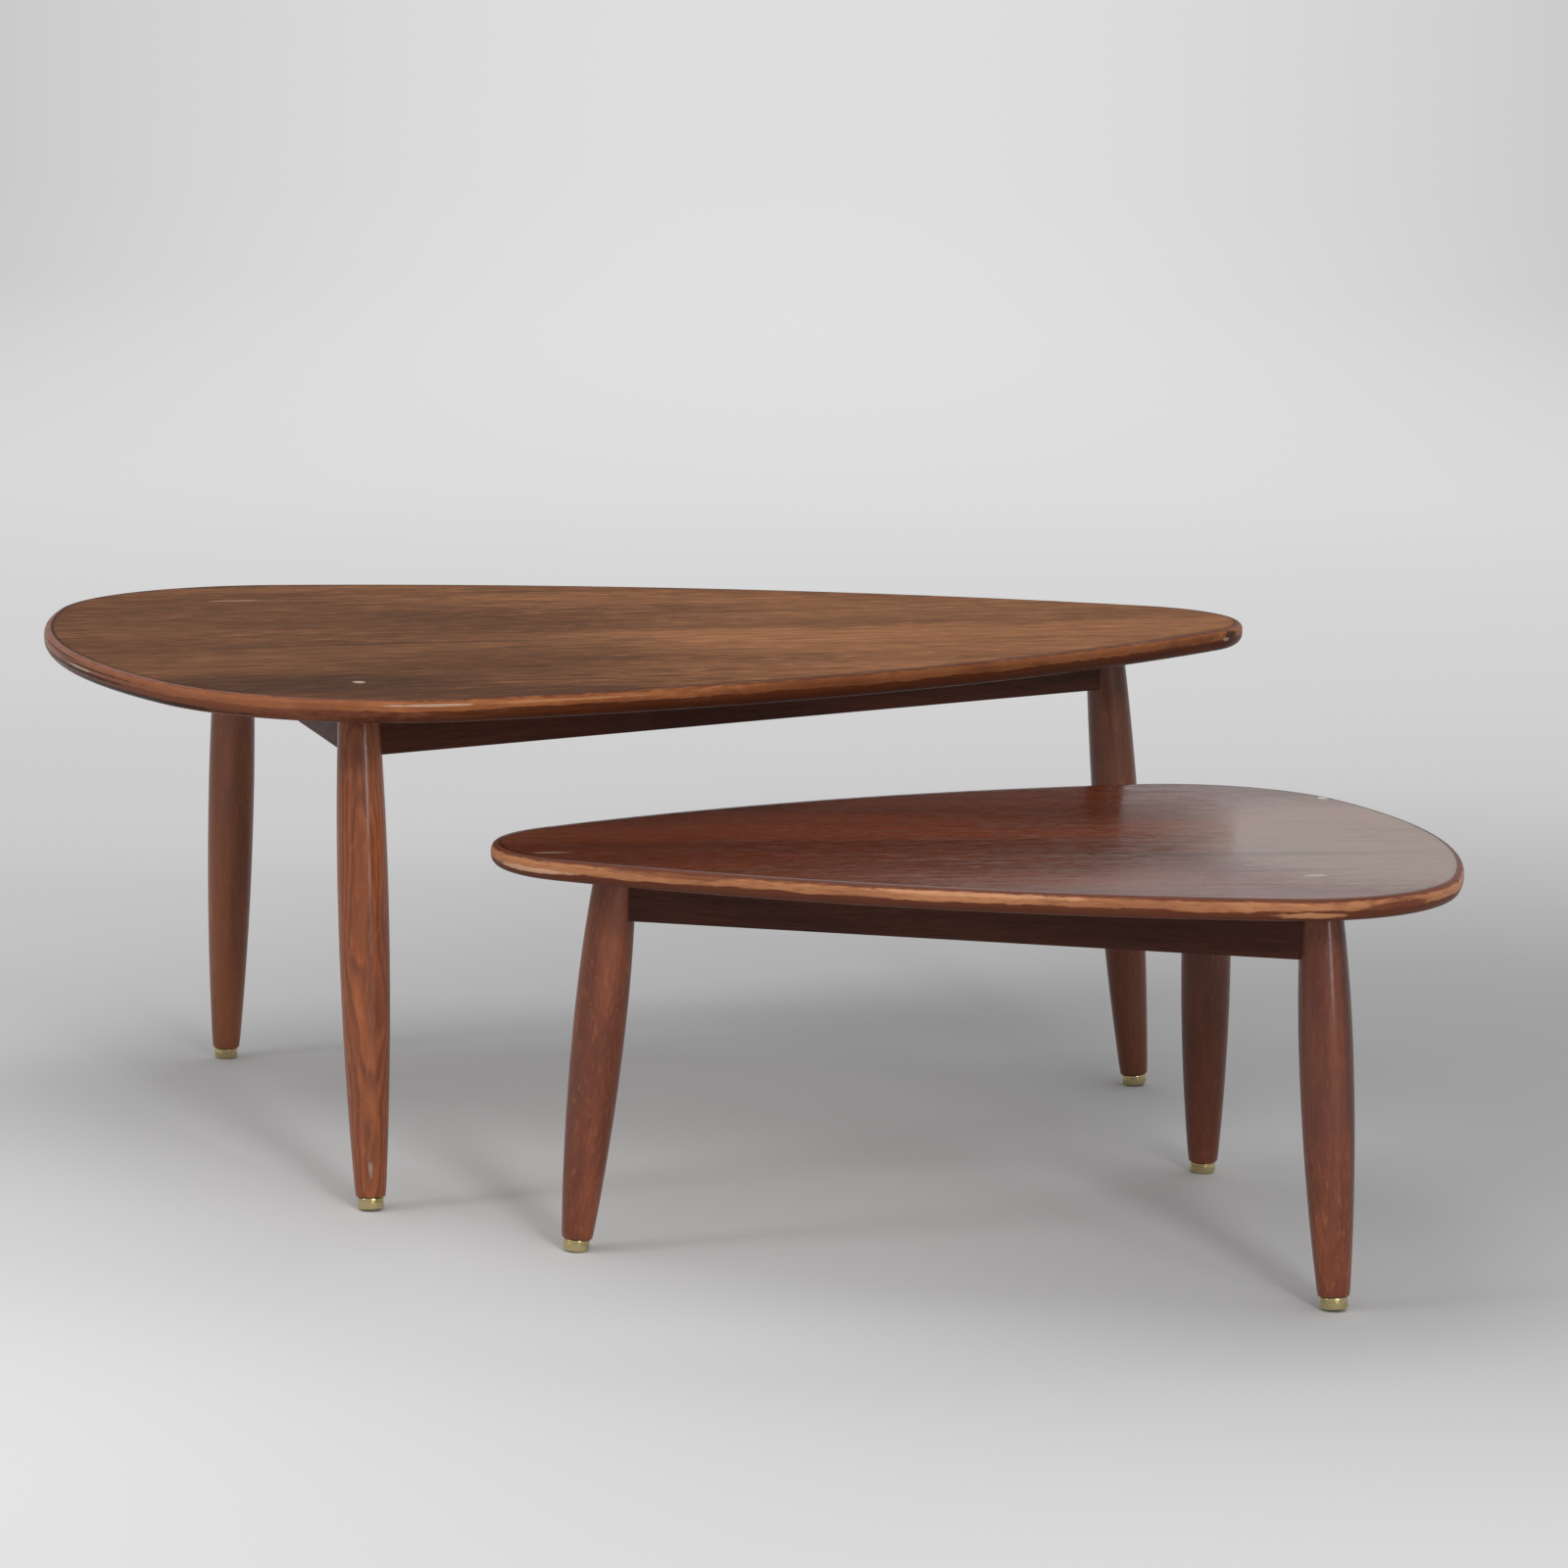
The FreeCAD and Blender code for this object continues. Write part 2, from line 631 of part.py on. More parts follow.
def build_table(table, bracket, screw):
    """Build one table from its top down."""
    underside = f"Sizes.{table}_height - Sizes.{table}_board"
    top_screws, rail_screws = top_fixings(table, bracket, screw)

    veneer = "Sizes.veneer"
    face_level = f"Sizes.{table}_height - {veneer}"
    face = slab(table + "_top_veneer", table, "Sizes.veneer_margin", face_level, veneer)
    keep(face, table + "_top_veneer")
    field = "Sizes.lipping_width"
    core_height = f"Sizes.{table}_board - 2 * {veneer}"
    core = slab(table + "_core_board", table, field, f"{underside} + {veneer}", core_height)
    keep(cut(table + "_top_core", core, top_screws), table + "_top_core")
    back = slab(table + "_backing_sheet", table, field, underside, veneer)
    keep(cut(table + "_backing_veneer", back, top_screws), table + "_backing_veneer")
    lippings(table)

    dowels = rail_dowels(table)
    half = size("cutter_reach") / 2
    above = cutter(table + "_space_above_legs", table, Vector(-half, -half, worth(underside)))
    legs = {}
    for name in LEGS:
        legs[name] = turned_leg(table, name)
        trimmed = cut(f"{table}_{name}_leg_trimmed", legs[name], above)
        keep(cut(f"{table}_leg_{name}", trimmed, dowels), f"{table}_leg_{name}")
        foot_insert(table, name)
        levelling_foot(table, name)
    for name, ends in RAILS.items():
        pair = group(f"{table}_{name}_rail_legs", [legs[leg] for leg in ends])
        coped = cut(f"{table}_{name}_rail_coped", rail_blank(table, name), pair)
        mitred = mitre(table, name, coped)
        bored = cut(f"{table}_{name}_rail_bored", mitred, dowels)
        keep(cut(f"{table}_rail_{name}", bored, rail_screws), f"{table}_rail_{name}")


def check_document():
    """Stop if any object of the document failed, or a node's shape is missing or broken."""
    for item in doc.Objects:
        if {"Invalid", "Error"} & set(item.State):
            raise RuntimeError(f"{item.Name} is {item.State}")
    for node in nodes:
        shape = node.Shape
        if shape.isNull() or not shape.isValid() or shape.Volume <= 0:
            raise RuntimeError(f"{node.Label} has no valid shape")


def write_nodes():
    """Write each node to its own STEP file."""
    os.makedirs("parts", exist_ok=True)
    for node in nodes:
        node.Shape.exportStep(f"parts/{node.Label}.step")
        print(f"{node.Label}: {len(node.Shape.Solids)} solid(s), {node.Shape.Volume / 1000:.1f} cm3")


fill_sheet()
bracket = bracket_pattern()
screw = screw_pattern()
for table in TABLES:
    build_table(table, bracket, screw)
doc.recompute()
check_document()
write_nodes()
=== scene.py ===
import json
import logging
import math
from contextlib import contextmanager
from dataclasses import dataclass, field
from enum import Enum
from typing import Callable, Iterator, Sequence

import bmesh
import bpy
from mathutils import Matrix, Quaternion, Vector


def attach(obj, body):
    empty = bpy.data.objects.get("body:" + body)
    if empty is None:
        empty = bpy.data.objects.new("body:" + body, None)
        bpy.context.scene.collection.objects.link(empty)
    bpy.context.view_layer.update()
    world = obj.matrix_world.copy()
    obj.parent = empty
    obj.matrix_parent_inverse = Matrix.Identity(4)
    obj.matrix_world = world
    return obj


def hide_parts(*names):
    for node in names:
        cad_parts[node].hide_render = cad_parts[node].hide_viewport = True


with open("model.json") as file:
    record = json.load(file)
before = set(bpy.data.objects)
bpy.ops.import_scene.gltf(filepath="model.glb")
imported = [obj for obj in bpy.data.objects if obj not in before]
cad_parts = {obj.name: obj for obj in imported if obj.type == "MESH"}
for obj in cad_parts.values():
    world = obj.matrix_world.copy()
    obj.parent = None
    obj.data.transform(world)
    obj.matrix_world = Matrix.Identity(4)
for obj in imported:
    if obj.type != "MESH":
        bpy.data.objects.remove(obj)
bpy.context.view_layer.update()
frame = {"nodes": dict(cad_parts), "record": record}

# Two nesting tables in metres: +Z up from the floor, +X towards the large table's tip, -Y in front.
# Each table is modelled about the middle of its own top, with its tip along +X, then stood in place.
# Every finish of a modelled piece reads the attribute LAY, which says where a point lies in its
# piece: along the grain or the lathe's axis, across it, and deep. On a top the third part is the
# way in from the veneer's border. On a lipping the parts are the way round the outline from the
# tip, the way in from it, and the height over the top, which is negative.

LAY = "lay"
UP = Vector((0.0, 0.0, 1.0))
MERGE = 1e-6
SEAM = 5e-5
FLOOR_GAP = 0.0002
SENSOR = 36.0
LOG = logging.getLogger("tables")

Piece = bpy.types.Object
Socket = bpy.types.NodeSocket
Colour = tuple[float, float, float]
Spot = tuple[float, float, float]
Point = Sequence[float]
Value = float | Socket
Inputs = dict[int | str, object]
Profile = list[tuple[float, float]]
Test = Callable[[Vector], bool]


class TableName(Enum):
    """The two tables."""

    LARGE = "large"
    SMALL = "small"


class Leg(Enum):
    """The legs of a table."""

    FRONT = "front"
    BACK = "back"
    TIP = "tip"


class Rail(Enum):
    """The rails of a table, each with the two legs that it ties."""

    END = ("end", Leg.FRONT, Leg.BACK)
    FRONT = ("front", Leg.FRONT, Leg.TIP)
    BACK = ("back", Leg.BACK, Leg.TIP)


# ---------------------------------------------------------------- finishes


def paint(red: int, green: int, blue: int) -> Colour:
    """Turn a colour card's numbers, from 0 to 255, into scene-linear values."""
    shares = (value / 255 for value in (red, green, blue))
    return tuple(v / 12.92 if v <= 0.04045 else ((v + 0.055) / 1.055) ** 2.4 for v in shares)


class Graph:
    """A material or world being wired up node by node."""

    def __init__(self, owner: bpy.types.Material | bpy.types.World) -> None:
        """Clear the owner's nodes.

        Args:
            owner: The material or world to wire.
        """
        owner.use_nodes = True
        self.tree = owner.node_tree
        self.tree.nodes.clear()

    def node(self, kind: str, inputs: Inputs | None = None, **settings: object) -> bpy.types.Node:
        """Add a node.

        Args:
            kind: The node's type, without its ShaderNode prefix.
            inputs: What each input is linked to or set to.
            settings: The node's own settings.

        Returns:
            The node.
        """
        made = self.tree.nodes.new("ShaderNode" + kind)
        for name, value in settings.items():
            setattr(made, name, value)
        for name, value in (inputs or {}).items():
            if isinstance(value, Socket):
                self.tree.links.new(value, made.inputs[name])
            else:
                made.inputs[name].default_value = value
        return made

    def math(self, operation: str, *values: Value) -> Socket:
        """Work out a number with a Math node's operation."""
        return self.node("Math", dict(enumerate(values)), operation=operation).outputs[0]

    def vector(self, operation: str, *values: object) -> bpy.types.Node:
        """Work out a vector with a Vector Math node's operation."""
        return self.node("VectorMath", dict(enumerate(values)), operation=operation)

    def scaled(self, source: Socket, scale: Point, shift: Point = (0, 0, 0)) -> Socket:
        """Stretch a vector and then move it."""
        return self.vector("MULTIPLY_ADD", source, tuple(scale), tuple(shift)).outputs[0]

    def noise(self, source: Socket, detail: float = 3, rough: float = 0.5) -> Socket:
        """Read cloudy noise, about 0.5 in the middle, with finer layers of the given strength."""
        inputs = {"Vector": source, "Scale": 1.0, "Detail": detail, "Roughness": rough}
        return self.node("TexNoise", inputs).outputs[0]

    def between(self, value: Value, low: float, high: float, out: Sequence[float] = (0, 1)) -> Socket:
        """Turn a value smoothly into the two results out, which it reaches at low and at high."""
        inputs = {0: value, 1: low, 2: high, 3: out[0], 4: out[1]}
        return self.node("MapRange", inputs, interpolation_type="SMOOTHSTEP").outputs[0]

    def part(self, source: Socket, number: int) -> Socket:
        """Take one part of a vector, counted from 0."""
        return self.node("SeparateXYZ", {0: source}).outputs[number]

    def grey(self, value: Socket) -> Socket:
        """Turn a number into a grey."""
        return self.node("CombineXYZ", {0: value, 1: value, 2: value}).outputs[0]

    def lay(self) -> Socket:
        """Read where each point lies in its own wood or metal."""
        return self.node("Attribute", attribute_name=LAY).outputs["Vector"]

    def surface(self, inputs: Inputs) -> None:
        """End the graph in a surface shader."""
        shader = self.node("BsdfPrincipled", inputs)
        self.node("OutputMaterial", {0: shader.outputs[0]})

    def mix(self, share: Value, first: object, second: object, blend: str = "MIX") -> Socket:
        """Mix two colours.

        Args:
            share: How much of the second.
            first: A colour or its socket.
            second: A colour or its socket.
            blend: How they are mixed.

        Returns:
            The colour's socket.
        """
        ready = [(*v, 1.0) if isinstance(v, tuple) else v for v in (first, second)]
        inputs = {0: share, 6: ready[0], 7: ready[1]}
        return self.node("Mix", inputs, data_type="RGBA", blend_type=blend).outputs[2]

    def bump(self, height: Socket, depth: float, under: object = None) -> Socket:
        """Raise the surface by a height map.

        Args:
            height: The map's socket, from 0 to 1.
            depth: How high 1 stands, in metres.
            under: The normal of a coarser bump below.

        Returns:
            The normal's socket.
        """
        inputs = {"Height": height, "Distance": depth, "Strength": 1.0}
        if under is not None:
            inputs["Normal"] = under
        return self.node("Bump", inputs).outputs[0]


@dataclass(frozen=True)
class Grain:
    """Noise laid along a piece: how often it changes each way, how rough it is and where it shows."""

    step: Spot
    shift: Spot = (0.0, 0.0, 0.0)
    detail: float = 3.0
    rough: float = 0.5
    low: float = 0.0
    high: float = 1.0

    def read(self, graph: Graph, lay: Socket) -> Socket:
        """Read the noise at a place."""
        return graph.noise(graph.scaled(lay, self.step, self.shift), self.detail, self.rough)

    def shown(self, graph: Graph, noise: Socket, out: tuple[float, float] = (0, 1)) -> Socket:
        """Turn the noise that was read into the two results out, at its low and its high."""
        return graph.between(noise, self.low, self.high, out)


# Wood: its open vessels, the rubbing that frays every mark, and the drift of its growth rings.
VESSELS = Grain((60.0, 1700.0, 1700.0), (7.7, 1.3, 2.9), 1, 0.5, 0.58, 0.7)
RUBBING = Grain((55.0, 160.0, 160.0), (0.4, 8.1, 3.3), 4, 0.65, 0.3, 0.8)
RING_DRIFT = Grain((7.0, 22.0, 22.0), (3.1, 0.7, 5.2), 2, 0.4)
LATE_WOOD = 0.82
ARCHED_UP_TO = 0.6
PLAIN_FROM = 1.2
PLAIN_SHARE = 0.2
LEAF_SHARE = 0.35
PORE_SHADE = 0.35
PORE_DULLNESS = 0.15
RUBBED_DULLNESS = 0.12
# Lipping: how its worn band wanders, frays and comes and goes.
RIM_SWAY = Grain((9.0, 0.0, 0.0), detail=4, rough=0.62)
RIM_FRAY = Grain((70.0, 300.0, 600.0), (6.0, 0.3, 2.0), 3, 0.6, 0.45, 0.7)
RIM_PATCHES = Grain((5.5, 0.0, 0.0), (3.3, 0.0, 0.0), 4, 0.6, 0.40, 0.56)
# Metal: tarnish, specks of dirt, the marks of the lathe, and a band of painted shade over a gap.
TARNISH = Grain((90.0, 160.0, 160.0), detail=5, rough=0.6, low=0.4, high=0.68)
SPECKS = Grain((1500.0, 1500.0, 1500.0), detail=2, low=0.66, high=0.8)
LATHE_LINES = Grain((9000.0, 60.0, 60.0), detail=2, rough=0.6)
TARNISH_DULLNESS = 0.25
SPECK_SHARE = 0.25
# Painted shade: how dark and how soft the band over the gap between foot and flange is.
GAP_SHADE_SHARE = 0.85
GAP_SHADE_EDGE = 0.0003
# Depths in metres.
FIBRE_DEPTH = 0.00003
PORE_DEPTH = 0.00005
STREAK_DEPTH = 0.00015
SPECK_DEPTH = 0.000004
CHIP_DEPTH = 0.0002
MARK_BLUR = 0.45
BORDER_FRAY = 0.006
BORDER_REACH = (0.0072, 0.0044)
BORDER_SHARE = 0.8


@dataclass(frozen=True)
class Mark:
    """A scuff, stain or worn place, or a patch of painted light or shade: its middle, how far it
    reaches and what it looks like.
    """

    spot: Spot
    reach: Spot
    colour: Colour
    strength: float = 1.0
    ragged: float = 0.6

    def apply(self, graph: Graph, lay: Socket, rub: Socket, colour: Socket) -> Socket:
        """Lay the mark over a colour.

        Args:
            graph: The material's graph.
            lay: Where the point lies in its piece.
            rub: Fine noise that frays the mark's border.
            colour: The colour so far.

        Returns:
            The colour's socket with the mark.
        """
        scale = [1 / side if side else 0.0 for side in self.reach]
        shift = [-place * share for place, share in zip(self.spot, scale)]
        away = graph.vector("LENGTH", graph.scaled(lay, scale, shift)).outputs["Value"]
        frayed = graph.math("MULTIPLY_ADD", rub, self.ragged * 2, away)
        ends = 1 + self.ragged
        share = graph.between(frayed, ends, ends - MARK_BLUR, (0, self.strength))
        return graph.mix(share, colour, self.colour)


@dataclass(frozen=True)
class WornRim:
    """Lipping lacquer rubbed off in a wavy band, between a dark arris and a dark lower half."""

    bare: Colour
    stain: Colour
    border: float
    wave: float
    strength: float
    patchy: float
    arris: float
    fray: float = 0.004
    blur: float = 0.0007
    arris_blur: float = 0.0012
    low_blur: tuple[float, float] = (0.0005, 0.0009)
    stain_share: float = 0.85
    low_share: float = 0.9
    arris_share: float = 0.85
    grain_share: float = 0.45

    def apply(self, graph: Graph, lay: Socket, colour: Socket) -> Socket:
        """Lay the worn band over a colour.

        Args:
            graph: The material's graph.
            lay: Where the point lies along the lipping and below its top.
            colour: The colour so far.

        Returns:
            The colour's socket with the band.
        """
        drop = graph.part(lay, 2)
        sway = graph.math("SUBTRACT", RIM_SWAY.read(graph, lay), 0.5)
        fibres = RIM_FRAY.read(graph, lay)
        rough = graph.math("MULTIPLY_ADD", graph.math("SUBTRACT", fibres, 0.5), self.fray, drop)
        edge = graph.math("MULTIPLY_ADD", sway, self.wave, rough)
        kept = graph.between(edge, -self.border - self.blur, -self.border + self.blur)
        crest = graph.between(rough, -self.arris + self.arris_blur, -self.arris - self.arris_blur)
        patches = RIM_PATCHES.read(graph, lay)
        worn = RIM_PATCHES.shown(graph, patches, (1 - self.patchy, 1.0))
        rubbed = graph.math("MULTIPLY", graph.math("MULTIPLY", kept, crest), worn)
        above, below = self.low_blur
        low = graph.between(edge, above - self.border, -below - self.border, (0, self.low_share))
        top = graph.between(crest, 1.0, 0.0, (0, self.arris_share))
        stained = graph.mix(self.stain_share, colour, self.stain)
        colour = graph.mix(graph.math("MAXIMUM", low, top), colour, stained)
        share = graph.math("MULTIPLY", rubbed, self.strength)
        grain = RIM_FRAY.shown(graph, fibres, (0.0, self.grain_share))
        return graph.mix(share, colour, graph.mix(grain, self.bare, colour))


@dataclass(frozen=True)
class Wood:
    """A wood finish: its colours, its figure and its lacquer."""

    name: str
    light: Colour
    dark: Colour
    streak: Colour
    tone_step: Spot = (1.6, 9.0, 9.0)
    streak_step: Spot = (5.0, 75.0, 75.0)
    streak_share: float = 0.5
    ring_gap: float = 0.0
    ring_share: float = 0.0
    pith: tuple[float, float] = (0.05, 0.02)
    wobble: float = 0.006
    leaf: float = 0.0
    pore_share: float = 0.35
    fleck: Colour | None = None
    fleck_step: Spot = (26.0, 210.0, 210.0)
    fleck_share: float = 0.4
    border: Colour | None = None
    roughness: float = 0.4
    specular: float = 0.5
    coat: float = 0.0
    coat_roughness: float = 0.15
    rough_streaks: float = 0.0
    relief: float = 1.0
    fibre: float = 1.0
    fibre_step: Spot = (38.0, 900.0, 900.0)
    marks: tuple[Mark, ...] = ()
    rim: WornRim | None = None

    def rings(self, graph: Graph, lay: Socket) -> Socket:
        """Draw growth rings round a pith beside the piece, which cut arches where it tapers.

        Args:
            graph: The material's graph.
            lay: Where the point lies in its piece.

        Returns:
            How far each point is into the dark wood of its ring.
        """
        drift = RING_DRIFT.read(graph, lay)
        flat = graph.scaled(lay, (0.0, 1.0, 1.0), (0.0, *self.pith))
        away = graph.vector("LENGTH", flat).outputs["Value"]
        bent = graph.math("MULTIPLY_ADD", drift, self.wobble, away)
        turn = graph.math("FRACT", graph.math("DIVIDE", bent, self.ring_gap))
        rise = graph.between(turn, 0.1, LATE_WOOD)
        fall = graph.between(turn, LATE_WOOD, 1.0, (1, 0))
        shown = graph.between(graph.part(lay, 0), ARCHED_UP_TO, PLAIN_FROM, (1.0, PLAIN_SHARE))
        return graph.math("MULTIPLY", graph.math("MULTIPLY", rise, fall), shown)

    def figure(self, graph: Graph, lay: Socket, streaks: Socket, pores: Socket) -> Socket:
        """Draw the wood itself: tone, veneer leaves, streaks, rings, vessels and flecks.

        Args:
            graph: The material's graph.
            lay: Where the point lies in its piece.
            streaks: Noise drawn out along the grain.
            pores: Where the open vessels are.

        Returns:
            The colour's socket.
        """
        tone = Grain(self.tone_step, detail=4, rough=0.55, low=0.28, high=0.72)
        colour = graph.mix(tone.shown(graph, tone.read(graph, lay)), self.dark, self.light)
        if self.leaf:
            number = graph.math("FLOOR", graph.math("DIVIDE", graph.part(lay, 1), self.leaf))
            own = graph.node("TexWhiteNoise", {"W": number}, noise_dimensions="1D").outputs[0]
            share = graph.between(own, 0.0, 1.0, (0.0, LEAF_SHARE))
            colour = graph.mix(share, colour, self.streak)
        share = graph.between(streaks, 0.42, 0.74, (0, self.streak_share))
        colour = graph.mix(share, colour, self.streak)
        if self.ring_share:
            late = graph.math("MULTIPLY", self.rings(graph, lay), self.ring_share)
            colour = graph.mix(late, colour, self.streak)
        share = graph.math("MULTIPLY", pores, self.pore_share)
        colour = graph.mix(share, colour, tuple(part * PORE_SHADE for part in self.streak))
        if self.fleck:
            glints = Grain(self.fleck_step, (1.7, 4.4, 9.2), 4, 0.6, 0.52, 0.68)
            share = glints.shown(graph, glints.read(graph, lay), (0, self.fleck_share))
            colour = graph.mix(share, colour, self.fleck)
        return colour

    def wear(self, graph: Graph, lay: Socket, rub: Socket, colour: Socket) -> Socket:
        """Lay the joint line, the worn rim and the marks over the wood.

        Args:
            graph: The material's graph.
            lay: Where the point lies in its piece.
            rub: Fine noise that frays every border.
            colour: The wood's own colour.

        Returns:
            The colour's socket.
        """
        if self.border:
            edge = graph.math("MULTIPLY_ADD", rub, BORDER_FRAY, graph.part(lay, 2))
            share = graph.between(edge, *BORDER_REACH, (0, BORDER_SHARE))
            colour = graph.mix(share, colour, self.border)
        if self.rim:
            colour = self.rim.apply(graph, lay, colour)
        for mark in self.marks:
            colour = mark.apply(graph, lay, rub, colour)
        return colour

    def material(self) -> bpy.types.Material:
        """Wire the finish as a material.

        Returns:
            The material.
        """
        made = bpy.data.materials.new(self.name)
        graph = Graph(made)
        lay = graph.lay()
        streaks = Grain(self.streak_step, detail=6, rough=0.62).read(graph, lay)
        fibre = Grain(self.fibre_step, detail=3, rough=0.6).read(graph, lay)
        rub = RUBBING.read(graph, lay)
        pores = VESSELS.shown(graph, VESSELS.read(graph, lay))
        colour = self.figure(graph, lay, streaks, pores)
        reach = (1 - 0.16 * self.fibre, 1 + 0.14 * self.fibre)
        shade = graph.grey(graph.between(fibre, 0.3, 0.75, reach))
        colour = self.wear(graph, lay, rub, graph.mix(1.0, colour, shade, "MULTIPLY"))
        gloss = self.roughness - 0.05
        rough = graph.math("MULTIPLY_ADD", RUBBING.shown(graph, rub), RUBBED_DULLNESS, gloss)
        rough = graph.math("MULTIPLY_ADD", pores, PORE_DULLNESS, rough)
        if self.rough_streaks:
            dull = graph.between(streaks, 0.48, 0.7, (0, self.rough_streaks))
            rough = graph.math("ADD", rough, dull)
        normal = graph.bump(fibre, FIBRE_DEPTH * self.relief)
        closed = graph.math("SUBTRACT", 1.0, pores)
        normal = graph.bump(closed, PORE_DEPTH * self.relief, normal)
        normal = graph.bump(streaks, STREAK_DEPTH * self.relief, normal)
        graph.surface(
            {
                "Base Color": colour,
                "Roughness": rough,
                "Normal": normal,
                "Specular IOR Level": self.specular,
                "Coat Weight": self.coat,
                "Coat Roughness": self.coat_roughness,
            }
        )
        return made


@dataclass(frozen=True)
class Metal:
    """A turned or pressed metal finish, tarnished in patches, marked by its lathe, and where asked
    darkened by a band of painted shade over a gap.
    """

    name: str
    bright: Colour
    tarnish: Colour
    tarnish_share: float
    roughness: float
    lathe: float = 0.0
    gap_shade: tuple[float, float] | None = None

    def material(self) -> bpy.types.Material:
        """Wire the finish as a material.

        Returns:
            The material.
        """
        made = bpy.data.materials.new(self.name)
        graph = Graph(made)
        lay = graph.lay()
        specks = SPECKS.read(graph, lay)
        dull = TARNISH.shown(graph, TARNISH.read(graph, lay), (0, self.tarnish_share))
        colour = graph.mix(dull, self.bright, self.tarnish)
        dirt_and_gap_shade = SPECKS.shown(graph, specks, (0, SPECK_SHARE))
        colour = graph.mix(dirt_and_gap_shade, colour, tuple(part * 0.3 for part in self.tarnish))
        # Painted shade: a near-black band along the axis over the gap between the foot's top and the
        # leg's flange.
        if self.gap_shade:
            along = graph.part(lay, 0)
            low, high = self.gap_shade
            above = graph.between(along, low, low + GAP_SHADE_EDGE)
            below = graph.between(along, high, high - GAP_SHADE_EDGE)
            dirt_and_gap_shade = graph.math("MULTIPLY", graph.math("MULTIPLY", above, below), GAP_SHADE_SHARE)
            colour = graph.mix(dirt_and_gap_shade, colour, tuple(part * 0.06 for part in self.tarnish))
        rough = graph.math("MULTIPLY_ADD", dull, TARNISH_DULLNESS, self.roughness)
        normal = graph.bump(specks, SPECK_DEPTH)
        if self.lathe:
            normal = graph.bump(LATHE_LINES.read(graph, lay), self.lathe, normal)
        graph.surface(
            {"Base Color": colour, "Metallic": 1.0, "Roughness": rough, "Normal": normal}
        )
        return made


@dataclass(frozen=True)
class Board:
    """Pressed wood fibre, or another speckled wood that nobody sees."""

    name: str
    base: Colour
    fleck: Colour
    step: Spot

    def material(self) -> bpy.types.Material:
        """Wire the finish as a material.

        Returns:
            The material.
        """
        made = bpy.data.materials.new(self.name)
        graph = Graph(made)
        spot = graph.node("TexCoord").outputs["Object"]
        chips = graph.noise(graph.scaled(spot, self.step), 5, 0.7)
        colour = graph.mix(graph.between(chips, 0.4, 0.65), self.base, self.fleck)
        rough = graph.between(chips, 0.2, 0.8, (0.75, 0.95))
        normal = graph.bump(chips, CHIP_DEPTH)
        graph.surface({"Base Color": colour, "Roughness": rough, "Normal": normal})
        return made


PALE_SCUFF = paint(190, 168, 148)
GREY_SCUFF = paint(176, 170, 162)
DARK_STAIN = paint(46, 28, 19)
# Pale bare wood where a chip shows it; the same colour also paints highlights on the large lipping's
# bend.
PALE_CHIP_AND_HIGHLIGHT = paint(186, 158, 138)
CHAR = paint(30, 18, 13)

